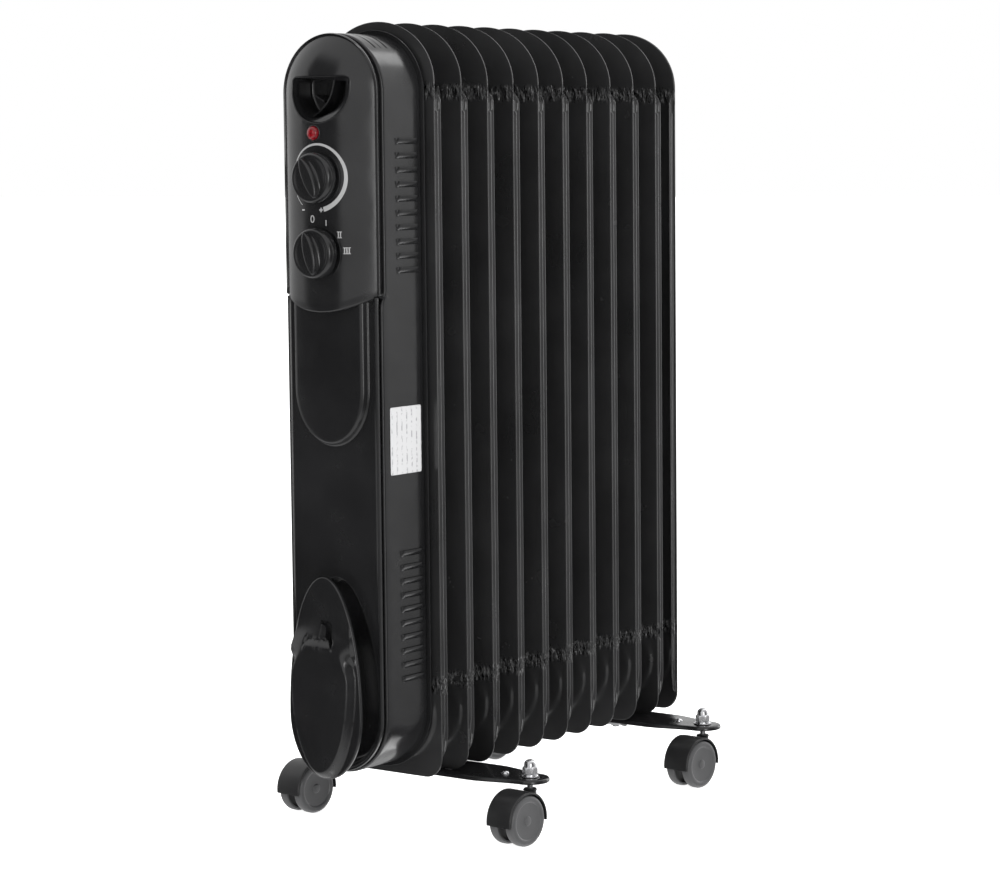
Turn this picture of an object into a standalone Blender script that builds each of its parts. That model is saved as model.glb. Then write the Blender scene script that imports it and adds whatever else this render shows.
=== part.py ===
"""Oil filled radiator heater on twin-wheel casters.

Eleven pressed steel sections stand in a row along Y on two foot plates. The control
box is at the -Y end. X is the width and Z = 0 is the floor. Lengths are in metres.
"""

import math

import bmesh
import bpy
from mathutils import Matrix

MM = 0.001

# Radiator sections
FIN_COUNT = 11
FIN_PITCH = 34.2 * MM
FIN_HALF_WIDTH = 55.0 * MM
FIN_BOTTOM = 51.0 * MM
FIN_TOP = 635.0 * MM
ARCH_SPRING = 588.0 * MM
CORNER_RADIUS = 16.0 * MM
FLANGE_TOP = 568.0 * MM
FLANGE_DEPTH = 9.2 * MM
FLANGE_SHEET = 1.4 * MM
SHEET_PAIR = 1.6 * MM
LAST_FIN_STEP = 30.1 * MM
PANEL_MARGIN = 10.5 * MM
PANEL_DEPTH = 5.2 * MM

# Headers: the two rows of welded bosses that join the sections
HEADER_RADIUS = 20.0 * MM
HEADER_NECK = 15.5 * MM
HEADER_BORE = 13.0 * MM
HEADER_END = 9.0 * MM

# Heating element, in the lower header
ELEMENT_FLANGE_RADIUS = 18.5 * MM
ELEMENT_FLANGE_DEPTH = 9.0 * MM
ELEMENT_PINS = 5.0 * MM
ELEMENT_SPREAD = 6.0 * MM
ELEMENT_RADIUS = 3.2 * MM

# Control box. The Y of its faces is measured from the front lip of the first section
BOX_HALF_WIDTH = 45.0 * MM
BOX_TOP_CENTRE = 580.0 * MM
BOX_LOW_CENTRE = 105.0 * MM
BOX_REAR = -5.0 * MM
BOX_FRONT_UPPER = -50.0 * MM
BOX_FRONT_LOWER = -54.0 * MM
BOX_WALL = 1.2 * MM
BOX_STEP = 428.0 * MM
SHIELD_MARGIN = 3.5 * MM
SHIELD_SHEET = 1.2 * MM
SHIELD_HOLE_RADIUS = 20.0 * MM
VENT_GROUPS = ((545.8 * MM, 10.8 * MM), (232.6 * MM, 10.75 * MM))
VENT_COUNT = 10
VENT_SPAN = (-35.5 * MM, -8.5 * MM)
VENT_HALF_HEIGHT = 0.8 * MM
CROWN_VENTS = (-40 * MM, -33 * MM, -26 * MM)
CROWN_VENT_SPAN = (7 * MM, 31 * MM)
CUTOUT_Z = 300.0 * MM
LABEL_SPAN = (-46.5 * MM, -8.5 * MM)
LABEL_HEIGHTS = (291.5 * MM, 343.0 * MM)

# Upper cover and its controls
COVER_BOTTOM = 416.0 * MM
COVER_BOTTOM_RISE = 13.0 * MM
COVER_WALL = 2.2 * MM
COVER_FRONT = -73.0 * MM
COVER_ROUNDING = 6.0 * MM
COVER_BULGE = 2.6
THERMOSTAT_Z = 516.5 * MM
SWITCH_Z = 460.0 * MM
KNOB_RADIUS = 19.3 * MM
KNOB_FRONT = -86.5 * MM
KNOB_BORE = 3.3 * MM
LAMP_X = -3.0 * MM
LAMP_Z = 550.0 * MM
LAMP_RADIUS = 5.7 * MM
LAMP_STEM_RADIUS = 4.5 * MM
SPINDLE_RADIUS = 3.0 * MM
SPINDLE_HOLE_RADIUS = 4.6 * MM
POCKET_HALF_WIDTH = 27.5 * MM
POCKET_TOP = 592.0 * MM
POCKET_MIDDLE = 585.0 * MM
POCKET_LOW = 557.5 * MM
POCKET_FLOOR = -46.0 * MM
POCKET_WALL = 1.8 * MM

# Lower panel, raised shield and cord winder
PANEL_FRONT = -58.0 * MM
PANEL_SHEET = 2.4 * MM
RECESS_FLOOR = -44.0 * MM
SHIELD_HALF_WIDTH = 36.0 * MM
SHIELD_FRONT = -63.6 * MM
SHIELD_STRAIGHT_END = 357.0 * MM
SHIELD_TIP = 44.5 * MM
RECESS_HALF_WIDTH = 39.3 * MM
RECESS_DOWN = 41.3 * MM
RECESS_UP = 103.8 * MM
GLAND_X = -30.5 * MM
GLAND_Z = 112.0 * MM
GLAND_RADIUS = 5.0 * MM
WINDER_Z = 108.0 * MM
WINDER_HALF_WIDTH = 35.0 * MM
WINDER_UP = 106.0 * MM
WINDER_DOWN = 50.0 * MM
WINDER_REAR = -71.0 * MM
WINDER_PLATE = 3.2 * MM
WINDER_FRONT = -82.5 * MM

# Feet and casters
FOOT_TOP = FIN_BOTTOM - 0.3 * MM
FOOT_SHEET = 2.0 * MM
FOOT_LIP = 47.2 * MM
FOOT_HALF_LENGTH = 121.0 * MM
FOOT_HALF_WIDTH = 24.0 * MM
FOOT_SHOULDER = 62.0 * MM
CLAMP_REACH = 21.5 * MM
CLAMP_SET_BACK = 0.9 * MM
CLAMP_RADIUS = 2.9 * MM
CASTER_X = 105.7 * MM
CASTER_OFFSET = 6.6 * MM
CASTER_TRAIL = 16.3 * MM
CASTER_TURN = math.radians(-4.6)
WHEEL_RADIUS = 20.0 * MM
WHEEL_FACE = 12.5 * MM
WHEEL_INNER = 3.9 * MM
HOOD_RADIUS = 22.6 * MM
HOOD_HALF_LENGTH = 12.0 * MM
AXLE_RADIUS = 2.0 * MM
STEM_RADIUS = 3.0 * MM

GAP = 0.3 * MM
ROUND = 24

# The object runs from the face of the knobs to the end bosses, centred on Y = 0.
LAST_PLANE = (FIN_COUNT - 2) * FIN_PITCH + SHEET_PAIR / 2 + LAST_FIN_STEP
Y_SHIFT = -(KNOB_FRONT + LAST_PLANE + HEADER_END) / 2


def fin_middle(index):
    """Y of the weld plane of a section, counted from 0 at the control box."""
    plane = index * FIN_PITCH + SHEET_PAIR / 2
    return Y_SHIFT + (plane if index < FIN_COUNT - 1 else LAST_PLANE)


FOOT_CLAMPS = (
    ("front", (fin_middle(1) + fin_middle(2)) / 2 + CLAMP_SET_BACK, -1),
    ("rear", (fin_middle(8) + fin_middle(9)) / 2 + CLAMP_SET_BACK, 1),
)


# ---------------------------------------------------------------- helpers


def clear_scene():
    for obj in list(bpy.data.objects):
        bpy.data.objects.remove(obj, do_unlink=True)


def material(name, color, roughness, metallic=0.0):
    made = bpy.data.materials.new(name)
    made.use_nodes = True
    shader = made.node_tree.nodes["Principled BSDF"]
    shader.inputs["Base Color"].default_value = (*color, 1.0)
    shader.inputs["Roughness"].default_value = roughness
    shader.inputs["Metallic"].default_value = metallic
    return made


def add(name, bm, made=None, place=None):
    """Turns a bmesh into an object with its faces pointing out and, if given, a material."""
    if place is not None:
        bm.transform(place)
    bmesh.ops.recalc_face_normals(bm, faces=bm.faces)
    mesh = bpy.data.meshes.new(name)
    bm.to_mesh(mesh)
    bm.free()
    mesh.shade_smooth()
    mesh.set_sharp_from_angle(angle=math.radians(35))
    obj = bpy.data.objects.new(name, mesh)
    bpy.context.collection.objects.link(obj)
    if made:
        mesh.materials.append(made)
    return obj


def combine(obj, operation, tools):
    """Applies Boolean operations, then removes the tool objects."""
    for tool in tools:
        modifier = obj.modifiers.new(operation, "BOOLEAN")
        modifier.operation = operation
        modifier.object = tool
    graph = bpy.context.evaluated_depsgraph_get()
    mesh = bpy.data.meshes.new_from_object(obj.evaluated_get(graph))
    obj.modifiers.clear()
    obj.data = mesh
    for tool in tools:
        bpy.data.objects.remove(tool, do_unlink=True)
    return obj


def unite(obj, *tools):
    return combine(obj, "UNION", tools)


def cut(obj, *tools):
    return combine(obj, "DIFFERENCE", tools)


def finish(obj, made):
    """Gives the object one material and smooth round faces."""
    obj.data.materials.clear()
    obj.data.materials.append(made)
    obj.data.shade_smooth()
    obj.data.set_sharp_from_angle(angle=math.radians(35))
    return obj


def block(x, y, z):
    """A box from three (low, high) pairs."""
    bm = bmesh.new()
    bmesh.ops.create_cube(bm, size=1.0)
    size = Matrix.Diagonal((x[1] - x[0], y[1] - y[0], z[1] - z[0], 1.0))
    centre = Matrix.Translation((sum(x) / 2, sum(y) / 2, sum(z) / 2))
    bm.transform(centre @ size)
    return bm


def prism(outline, low, high, axis="Y"):
    """Extrudes an outline, of (x, z) points along Y or of (x, y) points along Z."""
    bm = bmesh.new()

    def point(u, v, along):
        return (u, along, v) if axis == "Y" else (u, v, along)

    near = [bm.verts.new(point(u, v, low)) for u, v in outline]
    far = [bm.verts.new(point(u, v, high)) for u, v in outline]
    bm.faces.new(near)
    bm.faces.new(reversed(far))
    for index, start in enumerate(near):
        after = (index + 1) % len(near)
        bm.faces.new((start, far[index], far[after], near[after]))
    return bm


def turned(profile, segments=ROUND, loop=False):
    """Turns (radius, along) points about Z. An open profile starts and ends on the axis.

    A closed one is a ring or, where it touches the axis twice, a shape with a blind bore.
    """
    bm = bmesh.new()
    rings = []
    for radius, along in profile:
        if radius <= 0.0:
            rings.append([bm.verts.new((0.0, 0.0, along))] * segments)
            continue
        turn = [2 * math.pi * step / segments for step in range(segments)]
        rings.append(
            [bm.verts.new((radius * math.cos(a), radius * math.sin(a), along)) for a in turn]
        )
    pairs = list(zip(rings, rings[1:]))
    if loop:
        pairs.append((rings[-1], rings[0]))
    for inner, outer in pairs:
        for step in range(segments):
            after = (step + 1) % segments
            corners = [inner[step], inner[after], outer[after], outer[step]]
            corners = list(dict.fromkeys(corners))
            if len(corners) > 2:
                bm.faces.new(corners)
    return bm


def rod(radius, low, high, segments=ROUND):
    return turned([(0.0, low), (radius, low), (radius, high), (0.0, high)], segments)


def aim(axis, origin=(0.0, 0.0, 0.0)):
    """Turns a shape made about Z so that it lies along X or Y, and moves it."""
    turn = {
        "X": Matrix.Rotation(math.pi / 2, 4, "Y"),
        "Y": Matrix.Rotation(-math.pi / 2, 4, "X"),
        "Z": Matrix.Identity(4),
    }[axis]
    return Matrix.Translation(origin) @ turn


def ellipse_arc(centre, across, along, start, stop, steps):
    """Points of an elliptical arc in a plane, from one angle to another, in degrees."""
    points = []
    for step in range(steps + 1):
        angle = math.radians(start + (stop - start) * step / steps)
        points.append((centre[0] + across * math.cos(angle), centre[1] + along * math.sin(angle)))
    return points


def bent_rod(name, route, radius):
    """A round rod along a list of (x, y, z) points, with closed ends."""
    curve = bpy.data.curves.new(name, "CURVE")
    curve.dimensions = "3D"
    curve.bevel_depth = radius
    curve.bevel_resolution = 2
    curve.use_fill_caps = True
    spline = curve.splines.new("POLY")
    spline.points.add(len(route) - 1)
    for point, place in zip(spline.points, route):
        point.co = (*place, 1.0)
    path = bpy.data.objects.new(name, curve)
    bpy.context.collection.objects.link(path)
    graph = bpy.context.evaluated_depsgraph_get()
    mesh = bpy.data.meshes.new_from_object(path.evaluated_get(graph))
    bpy.data.objects.remove(path, do_unlink=True)
    bent = bpy.data.objects.new(name, mesh)
    bpy.context.collection.objects.link(bent)
    return bent


def stadium(half_width, low_centre, top_centre, steps=16):
    """Outline with two straight sides and half-round ends."""
    return ellipse_arc((0.0, top_centre), half_width, half_width, 0, 180, steps) + ellipse_arc(
        (0.0, low_centre), half_width, half_width, 180, 360, steps
    )


# ---------------------------------------------------------------- radiator


def fin_outline(margin, arch_steps, corner_steps):
    """Arched top, straight sides and a flat bottom with round corners, pulled in by the margin."""
    half = FIN_HALF_WIDTH - margin
    corner = CORNER_RADIUS - margin / 3
    low = FIN_BOTTOM + margin
    outline = ellipse_arc(
        (0.0, ARCH_SPRING), half, FIN_TOP - ARCH_SPRING - margin, 0, 180, arch_steps
    )
    outline += ellipse_arc((corner - half, low + corner), corner, corner, 180, 270, corner_steps)
    outline += ellipse_arc((half - corner, low + corner), corner, corner, 270, 360, corner_steps)
    return outline


def fin_mesh(paint):
    """One section: two welded sheets, a pressed oil panel, and flanged side edges."""
    fin = add("fin", prism(fin_outline(0.0, 14, 3), -SHEET_PAIR / 2, SHEET_PAIR / 2))
    pressed = prism(fin_outline(PANEL_MARGIN, 12, 2), -PANEL_DEPTH / 2, PANEL_DEPTH / 2)
    tools = [add("pressed", pressed)]
    for side in (-1, 1):
        edge = sorted((side * FIN_HALF_WIDTH, side * (FIN_HALF_WIDTH - FLANGE_SHEET)))
        strip = block(
            edge,
            (-SHEET_PAIR / 2, FLANGE_DEPTH - SHEET_PAIR / 2),
            (FIN_BOTTOM + CORNER_RADIUS + MM, FLANGE_TOP),
        )
        tools.append(add("strip", strip))
    unite(fin, *tools)
    holes = []
    for height in (BOX_LOW_CENTRE, BOX_TOP_CENTRE):
        hole = rod(HEADER_RADIUS + GAP, -10 * MM, 10 * MM, 14)
        holes.append(add("hole", hole, place=aim("Y", (0.0, 0.0, height))))
    cut(fin, *holes)
    finish(fin, paint)
    mesh = fin.data
    bpy.data.objects.remove(fin, do_unlink=True)
    return mesh


def make_fins(paint):
    """The flanges point to the rear, except on the last section, which is turned round."""
    mesh = fin_mesh(paint)
    for index in range(FIN_COUNT):
        fin = bpy.data.objects.new(f"fin_{index + 1:02d}", mesh)
        fin.location.y = fin_middle(index)
        fin.rotation_euler.z = math.pi if index == FIN_COUNT - 1 else 0.0
        bpy.context.collection.objects.link(fin)


def make_header(name, height, paint):
    """A row of bosses, wide where it passes each section and narrow at each weld between two."""
    front = fin_middle(0) - HEADER_END
    rear = fin_middle(FIN_COUNT - 1) + HEADER_END
    profile = [(HEADER_BORE, front), (HEADER_NECK, front)]
    for index in range(FIN_COUNT):
        middle = fin_middle(index)
        profile += [(HEADER_RADIUS, middle - 4 * MM), (HEADER_RADIUS, middle + 4 * MM)]
        if index < FIN_COUNT - 1:
            profile.append((HEADER_NECK, (middle + fin_middle(index + 1)) / 2))
    profile += [(HEADER_NECK, rear), (0.0, rear), (0.0, rear - 3 * MM), (HEADER_BORE, rear - 3 * MM)]
    add(name, turned(profile, 14, loop=True), paint, aim("Y", (0.0, 0.0, height)))


def make_heating_element(metal):
    """A hairpin tube on a screwed flange, which closes the front of the lower header."""
    front = fin_middle(0) - HEADER_END - GAP
    hexagon = rod(ELEMENT_FLANGE_RADIUS, front - ELEMENT_FLANGE_DEPTH, front, 6)
    flange = add("heating_element", hexagon, place=aim("Y", (0.0, 0.0, BOX_LOW_CENTRE)))
    start = front - ELEMENT_FLANGE_DEPTH - ELEMENT_PINS
    far = fin_middle(FIN_COUNT - 2)
    spread = ELEMENT_SPREAD
    route = [(-spread, start)] + ellipse_arc((0.0, far), spread, spread, 180, 0, 6) + [(spread, start)]
    tube = bent_rod("tube", [(x, y, BOX_LOW_CENTRE) for x, y in route], ELEMENT_RADIUS)
    finish(unite(flange, tube), metal)


def make_filler_plug(metal):
    """The screwed plug of the oil filling hole, in the front end of the upper header."""
    front = fin_middle(0) - HEADER_END - GAP
    shank = HEADER_BORE - MM
    profile = [
        (0.0, front - 5 * MM),
        (9 * MM, front - 5 * MM),
        (15 * MM, front - 2 * MM),
        (15 * MM, front),
        (shank, front),
        (shank, front + 9 * MM),
        (0.0, front + 9 * MM),
    ]
    add("oil_filler_plug", turned(profile, 18), metal, aim("Y", (0.0, 0.0, BOX_TOP_CENTRE)))


# ---------------------------------------------------------------- control box


def make_control_housing(paint):
    """A bent steel band with half-round ends, vented at the sides and on the crown."""
    outer = stadium(BOX_HALF_WIDTH, BOX_LOW_CENTRE, BOX_TOP_CENTRE)
    inner = stadium(BOX_HALF_WIDTH - BOX_WALL, BOX_LOW_CENTRE, BOX_TOP_CENTRE)
    low, high = Y_SHIFT + BOX_FRONT_LOWER, Y_SHIFT + BOX_REAR
    box = add("control_housing", prism(outer, low, high))
    wide = (-60 * MM, 60 * MM)
    tools = [
        add("inside", prism(inner, low - MM, high + MM)),
        add("step", block(wide, (low - MM, Y_SHIFT + BOX_FRONT_UPPER), (BOX_STEP, FIN_TOP))),
    ]
    along = (Y_SHIFT + VENT_SPAN[0], Y_SHIFT + VENT_SPAN[1])
    for top, pitch in VENT_GROUPS:
        for index in range(VENT_COUNT):
            height = top - index * pitch
            slot = block(wide, along, (height - VENT_HALF_HEIGHT, height + VENT_HALF_HEIGHT))
            tools.append(add("slot", slot))
    for depth in CROWN_VENTS:
        across = (Y_SHIFT + depth, Y_SHIFT + depth + 2 * VENT_HALF_HEIGHT)
        for side in (-1, 1):
            span = sorted(side * end for end in CROWN_VENT_SPAN)
            tools.append(add("slot", block(span, across, (BOX_TOP_CENTRE + 20 * MM, FIN_TOP))))
    finish(cut(box, *tools), paint)


def make_heat_shield(paint):
    """The plate between the control box and the first section."""
    half = BOX_HALF_WIDTH + SHIELD_MARGIN
    outline = stadium(half, BOX_LOW_CENTRE, BOX_TOP_CENTRE)
    front = Y_SHIFT + BOX_REAR + GAP
    rear = front + SHIELD_SHEET
    plate = add("heat_shield", prism(outline, front, rear))
    holes = []
    for height in (BOX_LOW_CENTRE, BOX_TOP_CENTRE):
        hole = rod(SHIELD_HOLE_RADIUS, rear - 5 * MM, rear + 5 * MM)
        holes.append(add("hole", hole, place=aim("Y", (0.0, 0.0, height))))
    finish(cut(plate, *holes), paint)


def cover_edge(x):
    """Height of the cover's curved lower edge."""
    return COVER_BOTTOM + COVER_BOTTOM_RISE * (x / BOX_HALF_WIDTH) ** 2


def cover_depth(inset):
    """Y of the cover's face at a distance in from its outline."""
    edge = BOX_FRONT_UPPER - COVER_ROUNDING
    share = min(inset / BOX_HALF_WIDTH, 1.0)
    return edge - (edge - COVER_FRONT) * (1 - (1 - share) ** COVER_BULGE)


def cover_solid(name, shrink, rear):
    """The cover's solid: nested arches, each further forward, over a flat back."""
    bm = bmesh.new()
    rows = []
    for inset in (None, 0.0, 1.2 * MM, 4 * MM, 9 * MM, 16 * MM, 25 * MM, 35 * MM):
        half = BOX_HALF_WIDTH - shrink - (inset or 0.0)
        low = cover_edge(half) + shrink
        depth = rear if inset is None else cover_depth(inset) + shrink
        path = [(half, low)]
        path += ellipse_arc((0.0, BOX_TOP_CENTRE), half, half, 0, 180, 16)
        path.append((-half, low))
        rows.append([bm.verts.new((x, Y_SHIFT + depth, z)) for x, z in path])
    crown = COVER_FRONT + shrink
    spine = [bm.verts.new((0.0, Y_SHIFT + crown, z)) for z in (COVER_BOTTOM + shrink, BOX_TOP_CENTRE)]
    for outer, inner in zip(rows, rows[1:]):
        for step in range(len(outer) - 1):
            bm.faces.new((outer[step], outer[step + 1], inner[step + 1], inner[step]))
    last = rows[-1]
    bm.faces.new((last[0], last[1], spine[1], spine[0]))
    bm.faces.new((last[-1], spine[0], spine[1], last[-2]))
    for step in range(1, len(last) - 2):
        bm.faces.new((last[step], last[step + 1], spine[1]))
    base = bm.verts.new((0.0, Y_SHIFT + rear, COVER_BOTTOM + shrink))
    for outer, inner in zip(rows, rows[1:]):
        bm.faces.new((outer[0], inner[0], base))
        bm.faces.new((outer[-1], base, inner[-1]))
    bm.faces.new((last[0], spine[0], base))
    bm.faces.new((last[-1], base, spine[0]))
    bm.faces.new([*rows[0], base])
    return add(name, bm)


def pocket_outline(grow):
    """The hand pocket: a flat top edge over a half-round."""
    half = POCKET_HALF_WIDTH + grow
    arc = ellipse_arc((0.0, POCKET_MIDDLE), half, POCKET_MIDDLE - POCKET_LOW + grow, 180, 360, 14)
    return arc + [(half - 3 * MM, POCKET_TOP + grow), (3 * MM - half, POCKET_TOP + grow)]


def make_upper_cover(plastic):
    """The bulging cover with its hand pocket, knob holes and lamp hole."""
    cover = cover_solid("upper_cover", 0.0, BOX_FRONT_UPPER - GAP)
    cut(cover, cover_solid("inside", COVER_WALL, BOX_FRONT_UPPER + MM))
    floor = Y_SHIFT + POCKET_FLOOR
    face = Y_SHIFT + COVER_FRONT + 3.5 * MM
    unite(cover, add("cup", prism(pocket_outline(POCKET_WALL), face, floor + POCKET_WALL)))
    before = Y_SHIFT + KNOB_FRONT
    tools = [add("pocket", prism(pocket_outline(0.0), before, floor))]
    seats = (
        (0.0, THERMOSTAT_Z, SPINDLE_HOLE_RADIUS),
        (0.0, SWITCH_Z, SPINDLE_HOLE_RADIUS),
        (LAMP_X, LAMP_Z, LAMP_STEM_RADIUS + GAP),
    )
    for x, z, radius in seats:
        hole = rod(radius, before, Y_SHIFT - 60 * MM, 16)
        tools.append(add("hole", hole, place=aim("Y", (x, 0.0, z))))
    finish(cut(cover, *tools), plastic)


def egg(half_width, centre, down, up, steps=14):
    """Outline of two half-ellipses that share their width."""
    return ellipse_arc((0.0, centre), half_width, up, 0, 180, steps) + ellipse_arc(
        (0.0, centre), half_width, down, 180, 360, steps
    )[1:-1]


def under_cover(half, steps=8):
    """Top edge of a shape that ends just under the cover, from right to left."""
    spots = [half * (1 - 2 * step / steps) for step in range(steps + 1)]
    return [(x, cover_edge(x) - GAP) for x in spots]


def make_lower_panel(plastic):
    """The flat front panel with its raised shield above and the recess for the cord below."""
    half = BOX_HALF_WIDTH - BOX_WALL - GAP
    outline = under_cover(half) + ellipse_arc((0.0, BOX_LOW_CENTRE), half, half, 180, 360, 20)
    rear = Y_SHIFT + PANEL_FRONT + PANEL_SHEET
    panel = add("lower_panel", prism(outline, Y_SHIFT + PANEL_FRONT, rear))
    pad = under_cover(SHIELD_HALF_WIDTH, 6)
    pad = [(x, z - 0.2 * MM) for x, z in pad]
    tip = (0.0, SHIELD_STRAIGHT_END)
    pad += ellipse_arc(tip, SHIELD_HALF_WIDTH, SHIELD_TIP, 180, 360, 14)
    tools = [add("shield", prism(pad, Y_SHIFT + SHIELD_FRONT, Y_SHIFT + PANEL_FRONT + MM))]
    wall = 2.2 * MM
    cup = egg(RECESS_HALF_WIDTH + wall, WINDER_Z, RECESS_DOWN + wall, RECESS_UP + wall)
    tools.append(add("cup", prism(cup, rear - MM, Y_SHIFT + RECESS_FLOOR + PANEL_SHEET)))
    unite(panel, *tools)
    recess = egg(RECESS_HALF_WIDTH, WINDER_Z, RECESS_DOWN, RECESS_UP)
    tools = [add("recess", prism(recess, Y_SHIFT - 70 * MM, Y_SHIFT + RECESS_FLOOR))]
    gland = rod(GLAND_RADIUS + GAP, Y_SHIFT - 60 * MM, Y_SHIFT - 30 * MM, 16)
    tools.append(add("gland_hole", gland, place=aim("Y", (GLAND_X, 0.0, GLAND_Z))))
    finish(cut(panel, *tools), plastic)


def make_cord_gland(plastic):
    """The bush that the mains lead would come out of, in the floor of the recess."""
    floor = Y_SHIFT + RECESS_FLOOR
    profile = [
        (3.6 * MM, floor - 7 * MM),
        (GLAND_RADIUS, floor - 7 * MM),
        (GLAND_RADIUS + 2 * MM, floor - 3 * MM),
        (GLAND_RADIUS + 2 * MM, floor - GAP),
        (GLAND_RADIUS, floor - GAP),
        (GLAND_RADIUS, floor + 7 * MM),
        (3.6 * MM, floor + 7 * MM),
    ]
    place = aim("Y", (GLAND_X, 0.0, GLAND_Z))
    add("cord_gland", turned(profile, 16, loop=True), plastic, place)


def make_cord_winder(plastic):
    """An oval flange on a hub, with a raised lobe and a slot that parks the plug."""
    plate = egg(WINDER_HALF_WIDTH, WINDER_Z, WINDER_DOWN, WINDER_UP)
    front, rear = Y_SHIFT + WINDER_FRONT, Y_SHIFT + WINDER_REAR
    winder = add("cord_winder", prism(plate, rear - WINDER_PLATE, rear))
    hub = egg(17 * MM, WINDER_Z, 22 * MM, 62 * MM, 10)
    lobe = egg(25.5 * MM, 113 * MM, 46 * MM, 50 * MM)
    unite(
        winder,
        add("hub", prism(hub, rear - MM, Y_SHIFT + RECESS_FLOOR - GAP)),
        add("lobe", prism(lobe, front, rear - MM)),
    )
    slot = block((-5 * MM, 12 * MM), (front - MM, rear - 1.5 * MM), (150 * MM, 180 * MM))
    finish(cut(winder, add("slot", slot)), plastic)


def make_knob(name, height, turn, plastic):
    """A round knob with a raised grip bar, bored for its spindle and set on its turning axis."""
    base = KNOB_FRONT - COVER_FRONT + GAP
    profile = [
        (0.0, 0.0),
        (KNOB_RADIUS - 1.2 * MM, 0.0),
        (KNOB_RADIUS, -1.2 * MM),
        (KNOB_RADIUS - 0.6 * MM, -4.6 * MM),
        (KNOB_RADIUS - 2.2 * MM, -6.0 * MM),
        (0.0, -6.0 * MM),
    ]
    knob = add(name, turned(profile, 28), place=aim("Y"))
    reach = KNOB_RADIUS - 2.6 * MM
    bar = ellipse_arc((0.0, 0.0), 5.5 * MM, reach, 0, 360, 20)[:-1]
    unite(knob, add("bar", prism(bar, base, -5 * MM)))
    bore = rod(KNOB_BORE, base + 2.5 * MM, MM, 14)
    cut(knob, add("bore", bore, place=aim("Y")))
    finish(knob, plastic)
    knob.location = (0.0, Y_SHIFT + COVER_FRONT - GAP, height)
    knob.rotation_euler.y = turn


def make_control_bodies(plastic, metal):
    """The thermostat and the switch behind the cover, each with the spindle that its knob turns on."""
    shapes = (
        ("thermostat", THERMOSTAT_Z, 15 * MM, 17 * MM, metal),
        ("power_switch", SWITCH_Z, 16 * MM, 14 * MM, plastic),
    )
    for name, height, half, half_height, made in shapes:
        front = Y_SHIFT - 64 * MM
        tall = (height - half_height, height + half_height)
        body = block((-half, half), (front, front + 24 * MM), tall)
        spindle = rod(SPINDLE_RADIUS, Y_SHIFT + KNOB_FRONT + 4 * MM, front + 5 * MM, 14)
        tool = add("spindle", spindle, place=aim("Y", (0.0, 0.0, height)))
        finish(unite(add(name, body), tool), made)


def make_pilot_lamp(lens):
    """The domed lens with its stem through the cover."""
    face = Y_SHIFT + COVER_FRONT
    dome = ellipse_arc((0.0, face - 0.6 * MM), LAMP_RADIUS, 4.2 * MM, 270, 360, 6)
    profile = dome + [(LAMP_RADIUS, face - GAP), (LAMP_STEM_RADIUS, face - GAP)]
    profile += [(LAMP_STEM_RADIUS, face + 14 * MM), (0.0, face + 14 * MM)]
    profile[0] = (0.0, profile[0][1])
    add("pilot_lamp", turned(profile, 18), lens, aim("Y", (LAMP_X, 0.0, LAMP_Z)))


def make_thermal_cutout(metal):
    """The overheat cutout, a flanged disc on the heat shield."""
    rear = Y_SHIFT + BOX_REAR
    profile = [
        (0.0, rear - 9 * MM),
        (8 * MM, rear - 9 * MM),
        (8 * MM, rear - 2 * MM),
        (12 * MM, rear - 2 * MM),
        (12 * MM, rear),
        (0.0, rear),
    ]
    add("thermal_cutout", turned(profile, 18), metal, aim("Y", (0.0, 0.0, CUTOUT_Z)))


def make_rating_plate(paper):
    """The rating label on the right side of the box."""
    side = BOX_HALF_WIDTH + GAP
    along = (Y_SHIFT + LABEL_SPAN[0], Y_SHIFT + LABEL_SPAN[1])
    add("rating_plate", block((side, side + 0.4 * MM), along, LABEL_HEIGHTS), paper)


# ---------------------------------------------------------------- feet and casters


def foot_outline(shrink):
    """Half-round ends over the casters, widening to a broad middle."""
    end = FOOT_HALF_LENGTH - CASTER_X - shrink
    half = FOOT_HALF_WIDTH - shrink
    outline = ellipse_arc((CASTER_X, 0.0), end, end, -80, 80, 8) + [(FOOT_SHOULDER, half)]
    outline += [(-x, y) for x, y in reversed(outline)]
    return outline + [(-FOOT_SHOULDER, -half), (FOOT_SHOULDER, -half)]


def make_foot(name, clamp_y, side, paint):
    """A pressed plate with turned-down edges, drilled for its clamp and its two casters."""
    outer = foot_outline(0.0)
    middle = clamp_y + side * CASTER_OFFSET
    foot = add(f"foot_plate_{name}", prism(outer, FOOT_LIP, FOOT_TOP, "Z"))
    tools = [add("under", prism(foot_outline(1.8 * MM), FOOT_LIP - MM, FOOT_TOP - FOOT_SHEET, "Z"))]
    for reach, across in ((CASTER_X, 0.0), (CLAMP_REACH, -side * CASTER_OFFSET)):
        for x in (-reach, reach):
            hole = rod(STEM_RADIUS + GAP, FOOT_LIP - MM, FOOT_TOP + MM, 16)
            tools.append(add("hole", hole, place=aim("Z", (x, across, 0.0))))
    finish(cut(foot, *tools), paint)
    foot.location.y = middle


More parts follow.
